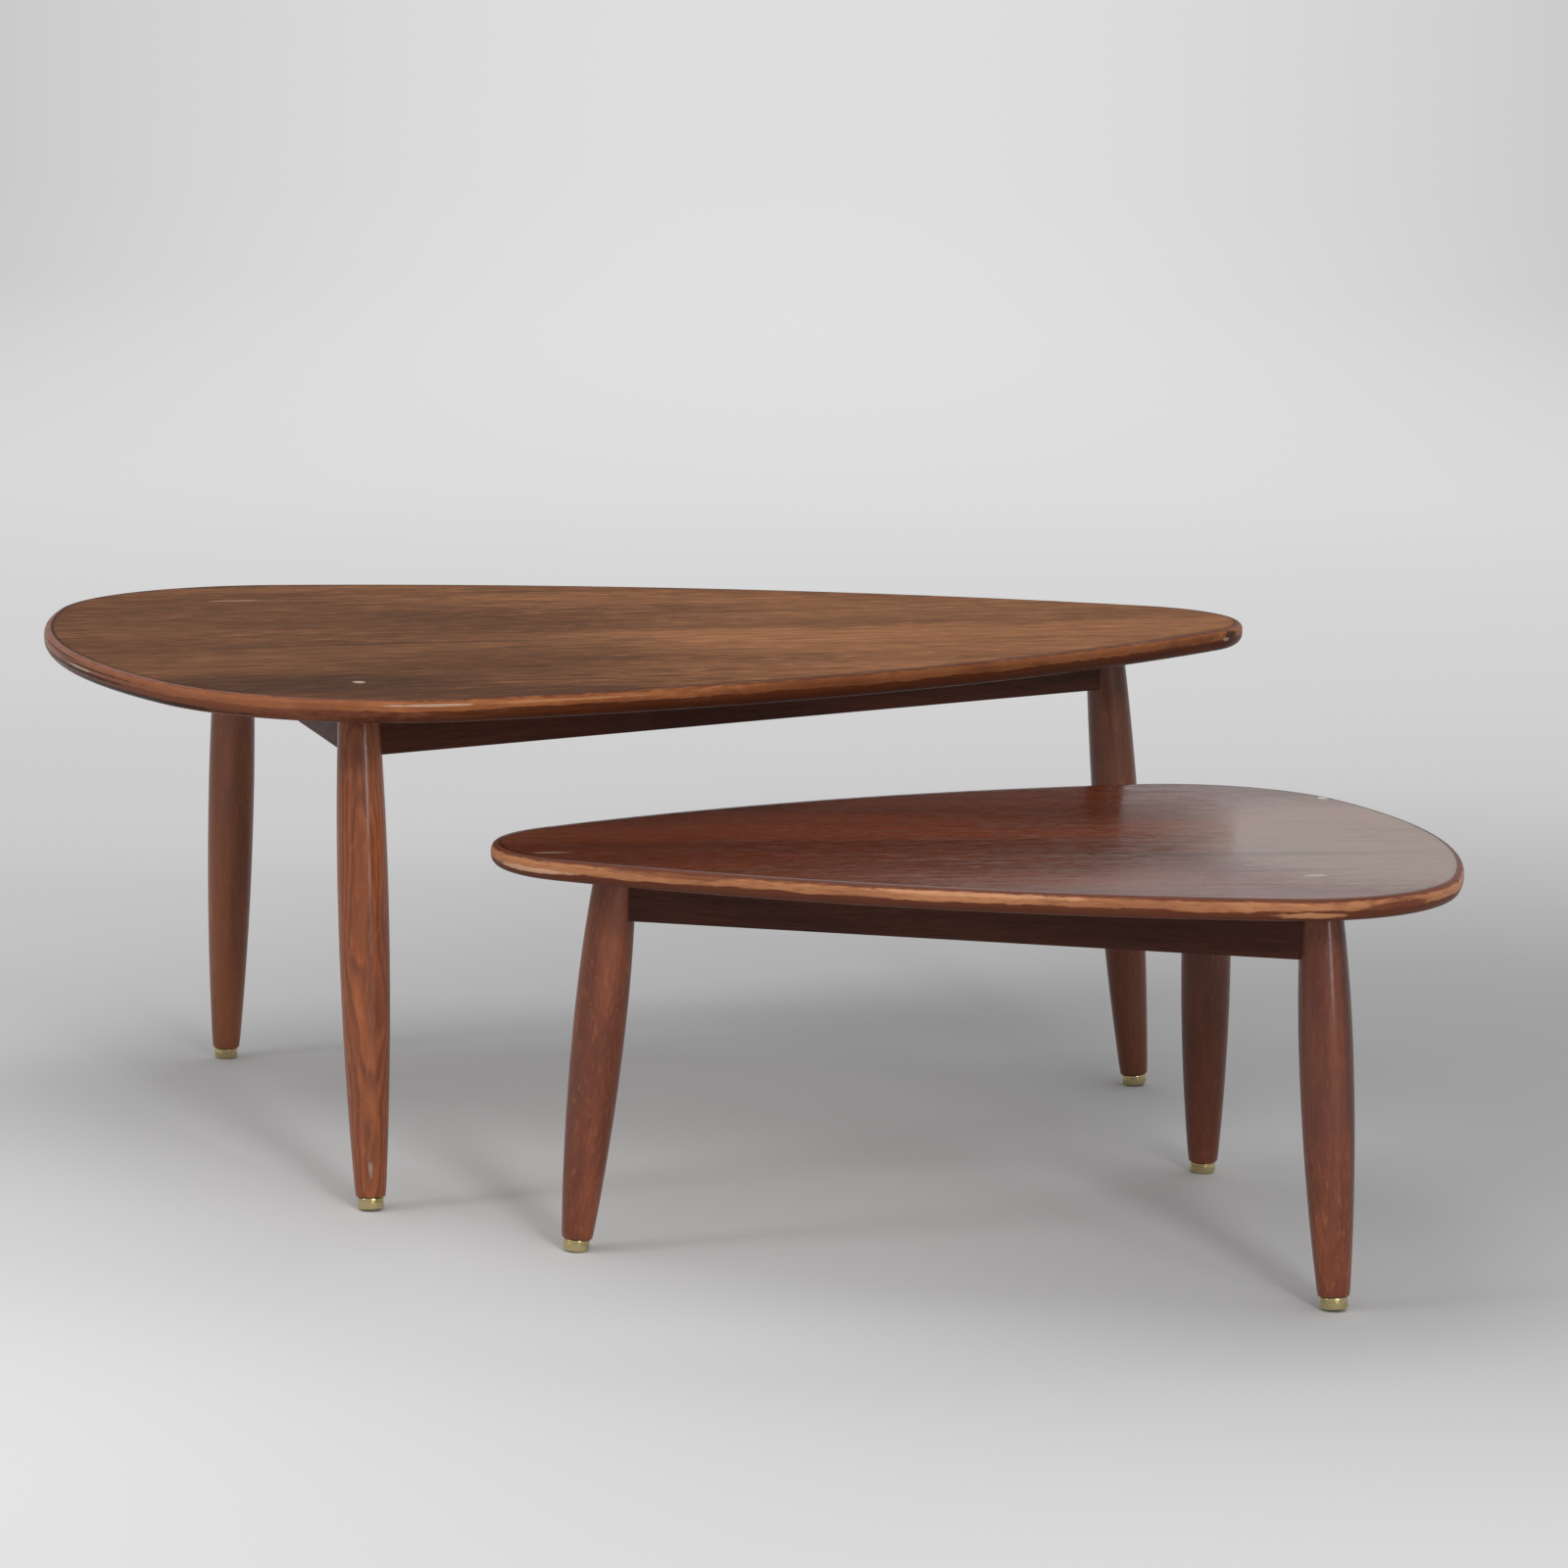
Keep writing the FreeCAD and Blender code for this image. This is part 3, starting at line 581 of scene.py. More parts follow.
FINISHES: tuple[Wood | Metal | Board, ...] = (
    Wood(
        "large_veneer",
        light=paint(140, 93, 60),
        dark=paint(95, 59, 35),
        streak=paint(52, 31, 18),
        tone_step=(1.5, 7.0, 0.0),
        streak_step=(8.0, 95.0, 0.0),
        streak_share=0.75,
        leaf=0.19,
        fleck=paint(168, 118, 80),
        fleck_step=(26.0, 190.0, 0.0),
        fleck_share=0.4,
        border=paint(40, 24, 16),
        roughness=0.5,
        specular=0.01,
        fibre=2.0,
        fibre_step=(30.0, 250.0, 0.0),
        marks=(
            Mark((-0.50, -0.05, 0.0), (0.55, 0.55, 0.0), paint(70, 44, 28), 0.4, 0.1),
            Mark((-0.41, -0.29, 0.0), (0.20, 0.08, 0.0), DARK_STAIN, 0.5, 0.6),
            Mark((-0.24, -0.37, 0.0), (0.20, 0.035, 0.0), DARK_STAIN, 0.45, 0.5),
            Mark((0.1, 0.02, 0.0), (0.30, 0.010, 0.0), DARK_STAIN, 0.3, 0.9),
            Mark((0.3, -0.05, 0.0), (0.45, 0.30, 0.0), paint(176, 122, 84), 0.12, 0.3),
            Mark((-0.25, -0.05, 0.0), (0.20, 0.009, 0.0), DARK_STAIN, 0.45, 0.9),
            Mark((0.02, 0.12, 0.0), (0.25, 0.012, 0.0), DARK_STAIN, 0.35, 0.9),
            Mark((-0.351, -0.288, 0.0), (0.006, 0.009, 0.0), PALE_SCUFF, 0.6, 0.9),
            Mark((-0.344, 0.281, 0.0), (0.03, 0.003, 0.0), PALE_SCUFF, 0.5, 0.5),
        ),
    ),
    Wood(
        "small_veneer",
        light=paint(112, 54, 32),
        dark=paint(80, 36, 20),
        streak=paint(48, 21, 12),
        tone_step=(1.8, 9.0, 0.0),
        streak_step=(7.0, 85.0, 0.0),
        streak_share=0.5,
        leaf=0.16,
        fleck=paint(134, 76, 48),
        fleck_step=(18.0, 160.0, 0.0),
        fleck_share=0.25,
        border=paint(34, 16, 10),
        roughness=0.145,
        specular=0.45,
        rough_streaks=0.12,
        relief=0.1,
        fibre_step=(30.0, 250.0, 0.0),
        marks=(
            # Painted reflection: a broad pale grey haze over the broad end, standing in for the pale
            # backdrop's sheen.
            Mark((-0.33, 0.02, 0.0), (0.19, 0.27, 0.0), paint(172, 156, 142), 0.27, 0.35),
            Mark((-0.20, 0.08, 0.0), (0.16, 0.012, 0.0), DARK_STAIN, 0.4, 0.9),
            Mark((-0.22, 0.155, 0.0), (0.10, 0.008, 0.0), DARK_STAIN, 0.35, 0.9),
            Mark((-0.347, -0.202, 0.0), (0.006, 0.008, 0.0), GREY_SCUFF, 0.9, 0.6),
            Mark((-0.246, 0.18, 0.0), (0.013, 0.004, 0.0), GREY_SCUFF, 0.6, 0.8),
            Mark((0.355, 0.045, 0.0), (0.02, 0.004, 0.0), PALE_SCUFF, 0.35, 0.5),
        ),
    ),
    Wood(
        "large_lipping",
        light=paint(136, 78, 46),
        dark=paint(104, 56, 33),
        streak=paint(58, 29, 17),
        tone_step=(3.0, 60.0, 60.0),
        streak_step=(11.0, 260.0, 260.0),
        streak_share=0.6,
        fleck=paint(168, 112, 76),
        fleck_step=(20.0, 330.0, 330.0),
        roughness=0.3,
        specular=0.03,
        rim=WornRim(paint(160, 102, 62), paint(62, 30, 18), 0.0088, 0.007, 0.75, 0.75, 0.0012),
        marks=(
            Mark((1.62, 0.0, -0.008), (0.50, 0.03, 0.05), paint(122, 76, 58), 0.6, 0.5),
            Mark((1.60, 0.0, -0.011), (0.17, 0.03, 0.0016), CHAR, 0.9, 0.5),
            Mark((1.64, 0.0, -0.006), (0.14, 0.03, 0.0009), CHAR, 0.85, 0.6),
            Mark((1.54, 0.0, -0.0035), (0.12, 0.03, 0.0009), CHAR, 0.8, 0.6),
            Mark((1.63, 0.0, -0.0085), (0.045, 0.03, 0.0011), PALE_CHIP_AND_HIGHLIGHT, 0.8, 0.5),
            Mark((1.72, 0.0, -0.0165), (0.22, 0.03, 0.003), CHAR, 0.85, 0.4),
            # Painted highlights on the bend: the pale marks on this line and the next stand in for the
            # key light's sheen.
            Mark((2.06, 0.0, -0.0045), (0.05, 0.03, 0.0014), PALE_CHIP_AND_HIGHLIGHT, 0.6, 0.7),
            Mark((2.18, 0.0, -0.0045), (0.11, 0.03, 0.0012), paint(182, 132, 92), 0.5, 0.9),
            Mark((2.62, 0.0, -0.010), (0.44, 0.03, 0.02), paint(72, 37, 22), 0.5, 0.5),
            Mark((2.97, 0.0, -0.006), (0.015, 0.03, 0.005), CHAR, 0.75, 0.7),
            Mark((2.96, 0.0, -0.009), (0.007, 0.03, 0.002), GREY_SCUFF, 0.4, 0.8),
        ),
    ),
    Wood(
        "small_lipping",
        light=paint(122, 70, 46),
        dark=paint(98, 54, 37),
        streak=paint(58, 29, 20),
        tone_step=(3.0, 60.0, 60.0),
        streak_step=(11.0, 260.0, 260.0),
        streak_share=0.5,
        roughness=0.34,
        specular=0.06,
        rim=WornRim(paint(170, 116, 80), paint(86, 47, 34), 0.0095, 0.012, 0.95, 0.4, 0.0024),
        marks=(
            Mark((0.785, 0.0, -0.009), (0.045, 0.03, 0.006), paint(88, 47, 34), 0.85, 0.7),
            # Painted highlight on the lipping's lower rounding.
            Mark((0.71, 0.0, -0.0125), (0.035, 0.03, 0.003), paint(182, 128, 90), 0.8, 0.6),
            Mark((1.00, 0.0, -0.008), (0.12, 0.03, 0.005), paint(80, 46, 34), 0.6, 0.8),
            Mark((0.20, 0.0, -0.003), (0.07, 0.03, 0.004), paint(96, 52, 36), 0.6, 0.8),
            # Painted highlights: the pale marks on this line and the next.
            Mark((0.45, 0.0, -0.0035), (0.10, 0.03, 0.002), paint(200, 150, 112), 0.5, 0.9),
            Mark((0.07, 0.0, -0.010), (0.05, 0.03, 0.0025), paint(204, 160, 132), 0.7, 0.6),
        ),
    ),
    Wood(
        "large_leg_wood",
        light=paint(156, 87, 48),
        dark=paint(128, 66, 37),
        streak=paint(74, 35, 20),
        tone_step=(6.0, 36.0, 36.0),
        streak_step=(14.0, 150.0, 150.0),
        streak_share=0.22,
        ring_gap=0.0032,
        ring_share=0.5,
        wobble=0.022,
        pore_share=0.2,
        fleck=paint(172, 108, 68),
        fleck_step=(60.0, 260.0, 260.0),
        fleck_share=0.25,
        fibre=0.5,
        roughness=0.4,
        specular=0.2,
        coat=0.4,
        coat_roughness=0.15,
        marks=(
            Mark((0.036, 0.012, 0.004), (0.009, 0.006, 0.0022), GREY_SCUFF, 0.4, 0.9),
            # Painted shade: the back leg and the tip leg darkened all over, as they stand further back
            # under the top.
            Mark((1.9, 0.0, 0.0), (0.5, 0.0, 0.0), paint(84, 58, 44), 0.4, 0.15),
            Mark((3.1, 0.0, 0.0), (0.5, 0.0, 0.0), paint(48, 26, 20), 0.6, 0.15),
        ),
    ),
    Wood(
        "small_leg_wood",
        light=paint(130, 68, 42),
        dark=paint(98, 48, 30),
        streak=paint(60, 28, 18),
        tone_step=(7.0, 44.0, 44.0),
        streak_step=(14.0, 150.0, 150.0),
        streak_share=0.22,
        ring_gap=0.003,
        ring_share=0.2,
        wobble=0.010,
        pore_share=0.2,
        fleck=paint(178, 108, 68),
        fleck_step=(90.0, 420.0, 420.0),
        fleck_share=0.2,
        fibre=0.5,
        roughness=0.38,
        specular=0.2,
        coat=0.4,
        coat_roughness=0.17,
        marks=(
            # Painted shade on the front leg: its upper part darkened under the top, and its left side
            # darker still.
            Mark((0.32, 0.0, 0.0), (0.11, 0.0, 0.0), paint(70, 34, 24), 0.45, 0.4),
            Mark((0.33, -0.009, 0.018), (0.22, 0.016, 0.016), paint(56, 28, 20), 0.6, 0.2),
            Mark((0.21, -0.012, -0.018), (0.08, 0.02, 0.015), paint(166, 96, 54), 0.35, 0.9),
            # Painted shade: the back leg darkened all over.
            Mark((5.5, 0.0, 0.0), (0.5, 0.0, 0.0), paint(52, 26, 18), 0.45, 0.15),
        ),
    ),
    Wood(
        "rail_wood",
        light=paint(86, 46, 32),
        dark=paint(64, 33, 23),
        streak=paint(38, 19, 13),
        tone_step=(3.0, 25.0, 25.0),
        streak_step=(8.0, 160.0, 160.0),
        streak_share=0.5,
        roughness=0.5,
        specular=0.15,
    ),
    Wood(
        "backing_veneer",
        light=paint(128, 92, 66),
        dark=paint(100, 68, 47),
        streak=paint(70, 46, 31),
        tone_step=(1.5, 7.0, 0.0),
        streak_step=(5.0, 60.0, 0.0),
        leaf=0.21,
        roughness=0.6,
        specular=0.2,
        pore_share=0.5,
    ),
    Board("core_board", paint(176, 142, 102), paint(140, 106, 70), (900.0, 900.0, 1500.0)),
    Board("dowel_wood", paint(205, 176, 132), paint(178, 142, 96), (700.0, 700.0, 700.0)),
    Metal(
        "brass",
        bright=paint(206, 190, 142),
        tarnish=paint(164, 146, 100),
        tarnish_share=0.2,
        roughness=0.15,
        lathe=0.000002,
        # Painted shade over the gap between the foot's top and the leg's flange.
        gap_shade=(0.0095, 0.0112),
    ),
    Metal(
        "steel",
        bright=paint(168, 166, 160),
        tarnish=paint(96, 88, 78),
        tarnish_share=0.7,
        roughness=0.36,
    ),
)


# ---------------------------------------------------------------- modelling by hand


def pick_nothing() -> None:
    """Deselect every object."""
    bpy.ops.object.select_all(action="DESELECT")


def take(piece: Piece) -> None:
    """Select one piece alone and make it active.

    Args:
        piece: The piece.
    """
    pick_nothing()
    piece.select_set(True)
    bpy.context.view_layer.objects.active = piece


@contextmanager
def editing(piece: Piece) -> Iterator[None]:
    """Hold a piece in edit mode.

    Args:
        piece: The piece.

    Yields:
        Nothing.
    """
    take(piece)
    bpy.ops.object.mode_set(mode="EDIT")
    yield
    bpy.ops.object.mode_set(mode="OBJECT")


def pick(piece: Piece, kind: str, test: Test) -> None:
    """Select the corners, edges or faces that lie wholly where a test says, in edit mode.

    Args:
        piece: The piece in edit mode.
        kind: VERT, EDGE or FACE.
        test: Says whether a corner is in the wanted place.
    """
    bpy.ops.mesh.select_mode(type=kind)
    bpy.ops.mesh.select_all(action="DESELECT")
    mesh = bmesh.from_edit_mesh(piece.data)
    parts = {"VERT": mesh.verts, "EDGE": mesh.edges, "FACE": mesh.faces}[kind]
    for part in parts:
        corners = [part] if kind == "VERT" else part.verts
        if all(test(corner.co) for corner in corners):
            part.select_set(True)
    mesh.select_flush_mode()
    bmesh.update_edit_mesh(piece.data)


def started(name: str) -> Piece:
    """Name the primitive that was just added.

    Args:
        name: The piece's name.

    Returns:
        The piece.
    """
    piece = bpy.context.active_object
    piece.name = piece.data.name = name
    return piece


def settle(piece: Piece) -> None:
    """Put a piece's place, turn and size into its mesh."""
    take(piece)
    bpy.ops.object.transform_apply(location=True, rotation=True, scale=True)


def stand(piece: Piece, place: Matrix) -> None:
    """Move a piece's mesh to a place."""
    piece.matrix_world = place
    settle(piece)


def close_up(piece: Piece) -> None:
    """Merge a piece's doubled corners and turn its faces outwards.

    Args:
        piece: The piece.
    """
    with editing(piece):
        bpy.ops.mesh.select_all(action="SELECT")
        bpy.ops.mesh.remove_doubles(threshold=MERGE)
        bpy.ops.mesh.normals_make_consistent(inside=False)


def smooth(piece: Piece, angle: float = 35.0) -> None:
    """Shade a piece smoothly, apart from edges sharper than an angle in degrees."""
    take(piece)
    bpy.ops.object.shade_smooth_by_angle(angle=math.radians(angle))


def soften(piece: Piece, width: float, segments: int = 3) -> None:
    """Round a piece's sharp edges.

    Args:
        piece: The piece.
        width: How wide the rounding is.
        segments: How many faces it has.
    """
    take(piece)
    modifier = piece.modifiers.new("rounding", "BEVEL")
    modifier.width = width
    modifier.segments = segments
    modifier.limit_method = "ANGLE"
    modifier.angle_limit = math.radians(40)
    bpy.ops.object.modifier_apply(modifier=modifier.name)


def carve(piece: Piece, tool: Piece) -> None:
    """Cut a tool's shape out of a piece.

    Args:
        piece: The piece.
        tool: The tool.
    """
    take(piece)
    modifier = piece.modifiers.new("cut", "BOOLEAN")
    modifier.operation = "DIFFERENCE"
    modifier.solver = "EXACT"
    modifier.object = tool
    bpy.ops.object.modifier_apply(modifier=modifier.name)


def discard(*pieces: Piece) -> None:
    """Delete patterns and tools."""
    for piece in pieces:
        bpy.data.meshes.remove(piece.data)


def copy_of(pattern: Piece, name: str) -> Piece:
    """Copy a pattern with a mesh of its own.

    Args:
        pattern: The piece to copy.
        name: The copy's name.

    Returns:
        The copy.
    """
    copy = pattern.copy()
    copy.data = pattern.data.copy()
    copy.name = copy.data.name = name
    bpy.context.scene.collection.objects.link(copy)
    return copy


def joined(name: str, pieces: Sequence[Piece]) -> Piece:
    """Join pieces into one.

    Args:
        name: The whole's name.
        pieces: The pieces.

    Returns:
        The whole.
    """
    pick_nothing()
    for piece in pieces:
        piece.select_set(True)
    bpy.context.view_layer.objects.active = pieces[0]
    bpy.ops.object.join()
    return started(name)


def write_lay(piece: Piece, rule: Callable[[Vector], Vector]) -> None:
    """Write where each point of a piece lies in its wood or metal.

    Args:
        piece: The piece.
        rule: Turns a point of the mesh into its place along, across and deep.
    """
    layer = piece.data.attributes.new(LAY, "FLOAT_VECTOR", "POINT")
    values = [part for corner in piece.data.vertices for part in rule(corner.co)]
    layer.data.foreach_set("vector", values)


def turned(name: str, profile: Sequence[tuple[float, float]], steps: int = 64) -> Piece:
    """Turn a piece about +Z, as on a lathe: draw half its outline, then spin it.

    Args:
        name: The piece's name.
        profile: Radius and height of each point of the outline, from end to end.
        steps: How many faces it has round its axis.

    Returns:
        The piece.
    """
    first = Vector((profile[0][0], 0.0, profile[0][1]))
    bpy.ops.mesh.primitive_plane_add(size=2.0, location=first + Vector((1.0, 1.0, 0.0)))
    piece = started(name)
    settle(piece)
    with editing(piece):
        pick(piece, "VERT", lambda spot: (spot - first).length > MERGE)
        bpy.ops.mesh.delete(type="VERT")
        bpy.ops.mesh.select_all(action="SELECT")
        for (radius, height), (wider, higher) in zip(profile, profile[1:]):
            move = {"value": (wider - radius, 0.0, higher - height)}
            bpy.ops.mesh.extrude_region_move(TRANSFORM_OT_translate=move)
        bpy.ops.mesh.select_all(action="SELECT")
        bpy.ops.mesh.spin(steps=steps, angle=math.tau, center=(0, 0, 0), axis=(0, 0, 1))
    close_up(piece)
    return piece


def arch(thin: Sequence[float], thick: Sequence[float], parts: int) -> Profile:
    """Give points along an arc that is upright at its thick end.

    Args:
        thin: Radius and height of its thin end.
        thick: Radius and height of its thick end.
        parts: How many parts it is divided into.

    Returns:
        Radius and height of each point, from the thin end to the thick one.
    """
    fall = thick[0] - thin[0]
    rise = thick[1] - thin[1]
    radius = (fall**2 + rise**2) / (2 * fall)
    points = []
    for part in range(parts + 1):
        height = thin[1] + rise * part / parts
        across = thick[0] - radius + math.sqrt(radius**2 - (height - thick[1]) ** 2)
        points.append((across, height))
    return points


def corner(centre: Sequence[float], radius: float, start: float, parts: int) -> Profile:
    """Give points round a quarter circle of a profile, anticlockwise from start in degrees."""
    angles = [math.radians(start + 90 * part / parts) for part in range(parts + 1)]
    return [(centre[0] + radius * math.cos(a), centre[1] + radius * math.sin(a)) for a in angles]


# ---------------------------------------------------------------- the outline of a top


@dataclass(frozen=True)
class Arc:
    """One arc of the outline, turned anticlockwise."""

    centre: Vector
    radius: float
    start: float
    stop: float


@dataclass(frozen=True)
class Outline:
    """The rounded three-cornered outline: six arcs that run into one another."""

    tip_reach: float
    tip_radius: float
    corner_back: float
    corner_spread: float
    corner_radius: float
    side_radius: float
    end_radius: float

    def half(self) -> list[Arc]:
        """Give the arcs of the left half, from the tip to the middle of the broad end.

        Returns:
            Four arcs.
        """
        tip = Vector((self.tip_reach, 0.0, 0.0))
        broad = Vector((-self.corner_back, self.corner_spread, 0.0))
        tip_gap = self.side_radius - self.tip_radius
        broad_gap = self.side_radius - self.corner_radius
        way = broad - tip
        apart = way.length
        along = (tip_gap**2 - broad_gap**2 + apart**2) / (2 * apart)
        aside = math.sqrt(tip_gap**2 - along**2)
        way.normalize()
        side = tip + way * along + Vector((-way.y, way.x, 0.0)) * aside
        end_gap = self.end_radius - self.corner_radius
        end = Vector((math.sqrt(end_gap**2 - self.corner_spread**2) - self.corner_back, 0.0, 0.0))
        first = math.atan2(tip.y - side.y, tip.x - side.x)
        second = math.atan2(broad.y - side.y, broad.x - side.x)
        third = math.atan2(broad.y - end.y, broad.x - end.x)
        return [
            Arc(tip, self.tip_radius, 0.0, first),
            Arc(side, self.side_radius, first, second),
            Arc(broad, self.corner_radius, second, third),
            Arc(end, self.end_radius, third, math.pi),
        ]

    def arcs(self) -> list[Arc]:
        """Give all the arcs anticlockwise from the tip.

        Returns:
            Eight arcs, for the tip's and the end's are each in two halves.
        """
        left = self.half()
        right = []
        for arc in reversed(left):
            mirrored = Vector((arc.centre.x, -arc.centre.y, 0.0))
            right.append(Arc(mirrored, arc.radius, math.tau - arc.stop, math.tau - arc.start))
        return left + right

    def lengths(self) -> dict[str, list[Arc]]:
        """Divide the outline into the three lengths of lipping.

        Returns:
            The arcs of the left side, the broad end and the right side.
        """
        arcs = self.arcs()
        square = math.pi / 2
        left, end, right = [], [], []
        for number, arc in enumerate(arcs):
            if number == 2:
                left.append(Arc(arc.centre, arc.radius, arc.start, square))
                end.append(Arc(arc.centre, arc.radius, square, arc.stop))
            elif number == 5:
                end.append(Arc(arc.centre, arc.radius, arc.start, 3 * square))
                right.append(Arc(arc.centre, arc.radius, 3 * square, arc.stop))
            else:
                (left if number < 2 else end if number < 5 else right).append(arc)
        return {"left": left, "end": end, "right": right}

    def follow(self, spot: Vector) -> tuple[float, float]:
        """Say where a point near the edge lies.

        Args:
            spot: The point, in the table's frame.

        Returns:
            How far round the outline from the tip it is, and how far in from the edge.
        """
        gone = 0.0
        nearest = (math.inf, 0.0, 0.0)
        for arc in self.arcs():
            away = spot - arc.centre
            angle = math.atan2(away.y, away.x)
            middle = (arc.start + arc.stop) / 2
            angle += math.tau * round((middle - angle) / math.tau)
            held = min(max(angle, arc.start), arc.stop)
            inset = arc.radius - math.hypot(away.x, away.y)
            on_arc = Vector((math.cos(held), math.sin(held), 0.0)) * arc.radius
            miss = math.hypot(away.x - on_arc.x, away.y - on_arc.y)
            if miss < nearest[0]:
                nearest = (miss, gone + (held - arc.start) * arc.radius, inset)
            gone += (arc.stop - arc.start) * arc.radius
        return nearest[1], nearest[2]


def sweep(piece: Piece, arcs: Sequence[Arc], step: float = 0.008) -> None:
    """Spin what is selected in edit mode along arcs that run into one another.

    Args:
        piece: The piece in edit mode; not used.
        arcs: The arcs.
        step: About how long each part is.
    """
    for arc in arcs:
        angle = arc.stop - arc.start
        steps = max(2, math.ceil(angle * arc.radius / step))
        bpy.ops.mesh.spin(steps=steps, angle=-angle, center=arc.centre, axis=(0, 0, 1))


# ---------------------------------------------------------------- one table


@dataclass(frozen=True)
class Hardware:
    """The sizes that both tables share."""

    veneer: float = 0.0008
    lipping_width: float = 0.014
    veneer_margin: float = 0.006
    nose_flat: float = 0.0001
    veneer_round: float = 0.0003
    backing_round: float = 0.0002
    border_rings: tuple[float, float] = (0.004, 0.006)
    leg_end_radius: float = 0.013
    leg_end_round: float = 0.0008
    leg_belly_radius: float = 0.0217
    foot_radius: float = 0.0111
    foot_round: float = 0.0015
    foot_height: float = 0.0095
    foot_edge: float = 0.0004
    foot_grooves: tuple[float, float] = (0.0030, 0.0016)
    groove_half: float = 0.0002
    groove_depth: float = 0.00018
    sole_dimple: tuple[tuple[float, float], ...] = ((0.0, 0.0004), (0.002, 0.00035), (0.004, 0.0))
    stud_radius: float = 0.00395
    stud_length: float = 0.022
    stud_end_radius: float = 0.0022
    thread_pitch: float = 0.00125
    thread_depth: float = 0.0006
    thread_crest: tuple[float, float] = (0.35, 0.5)
    screw_depth: float = 0.0004
    seat_gap: float = 0.0001
    flange_radius: float = 0.0092
    flange_height: float = 0.0009
    insert_radius: float = 0.0065
    insert_rib: float = 0.002
    chamfer: float = 0.001
    insert_length: float = 0.027
    bore_radius: float = 0.004
    bore_depth: float = 0.025
    rail_width: float = 0.020
    rail_depth: float = 0.045
    rail_round: float = 0.0012
    bracket_arm: float = 0.028
    bracket_wall: float = 0.0025
    bracket_width: float = 0.018
    bracket_corner: float = 0.004
    bracket_round: float = 0.0003
    screw_reach: float = 0.018
    screw_hole: float = 0.0022
    screw_radius: float = 0.0019
    screw_length: float = 0.013
    head_radius: float = 0.0039
    head_height: float = 0.0022
    head_dome: tuple[tuple[float, float], ...] = (
        (0.0, 0.0),
        (0.0016, 0.00004),
        (0.0028, 0.0003),
        (0.0035, 0.0008),
        (0.0039, 0.0015),
    )
    head_edge: float = 0.0002
    recess: tuple[float, float, float] = (0.0042, 0.0008, 0.0024)
    screw_pitch: float = 0.001
    screw_point: float = 0.003
    bracket_spots: tuple[float, float] = (0.27, 0.73)

    @property
    def leg_end(self) -> float:
        """Height of the leg's lower end above the sole."""
        return self.foot_height + self.seat_gap + self.flange_height


@dataclass(frozen=True)
class Sizes:
    """The sizes of one table."""

    board: float
    under_round: float
    outline: Outline
    tip_foot: float
    side_foot: float
    foot_spread: float
    tip_lean: float
    side_lean: float
    end_lean: float
    belly_height: float
    leg_blank: float
    leg_top_radius: float
    turn: float
    front_side: int


SIZES = {
    TableName.LARGE: Sizes(
        board=0.020,
        under_round=0.010,
        outline=Outline(0.443, 0.1185, 0.305, 0.180, 0.225, 1.692, 0.7575),
        tip_foot=0.474,
        side_foot=0.346,
        foot_spread=0.3185,
        tip_lean=0.043,
        side_lean=0.051,
        end_lean=-0.001,
        belly_height=0.262,
        leg_blank=0.440,
        leg_top_radius=0.0165,
        turn=0.0,
        front_side=-1,
    ),
    TableName.SMALL: Sizes(
        board=0.018,
        under_round=0.009,
        outline=Outline(0.3015, 0.097, 0.2175, 0.135, 0.1555, 1.326, 0.527),
        tip_foot=0.326,
        side_foot=0.258,
        foot_spread=0.238,
        tip_lean=0.0305,
        side_lean=0.0345,
        end_lean=0.0125,
        belly_height=0.203,
        leg_blank=0.332,
        leg_top_radius=0.0158,
        turn=170.75,
        front_side=1,
    ),
}


@dataclass(frozen=True)
class Figure:
    """How a leg's blank was sawn: which side faces out, in degrees, and where along the log."""

    turn: float
    shift: float


LEG_FIGURES = {
    (TableName.LARGE, Leg.FRONT): Figure(118.0, 0.0),
    (TableName.LARGE, Leg.BACK): Figure(60.0, 1.7),
    (TableName.LARGE, Leg.TIP): Figure(70.0, 2.9),
    (TableName.SMALL, Leg.FRONT): Figure(-40.0, 0.1),
    (TableName.SMALL, Leg.BACK): Figure(0.0, 5.3),
    (TableName.SMALL, Leg.TIP): Figure(-20.0, 6.2),
}
RAIL_SHIFTS = {TableName.LARGE: 1.3, TableName.SMALL: 2.1}
BACKING_SHIFT = 3.0
BACKING_DEPTH = 0.2


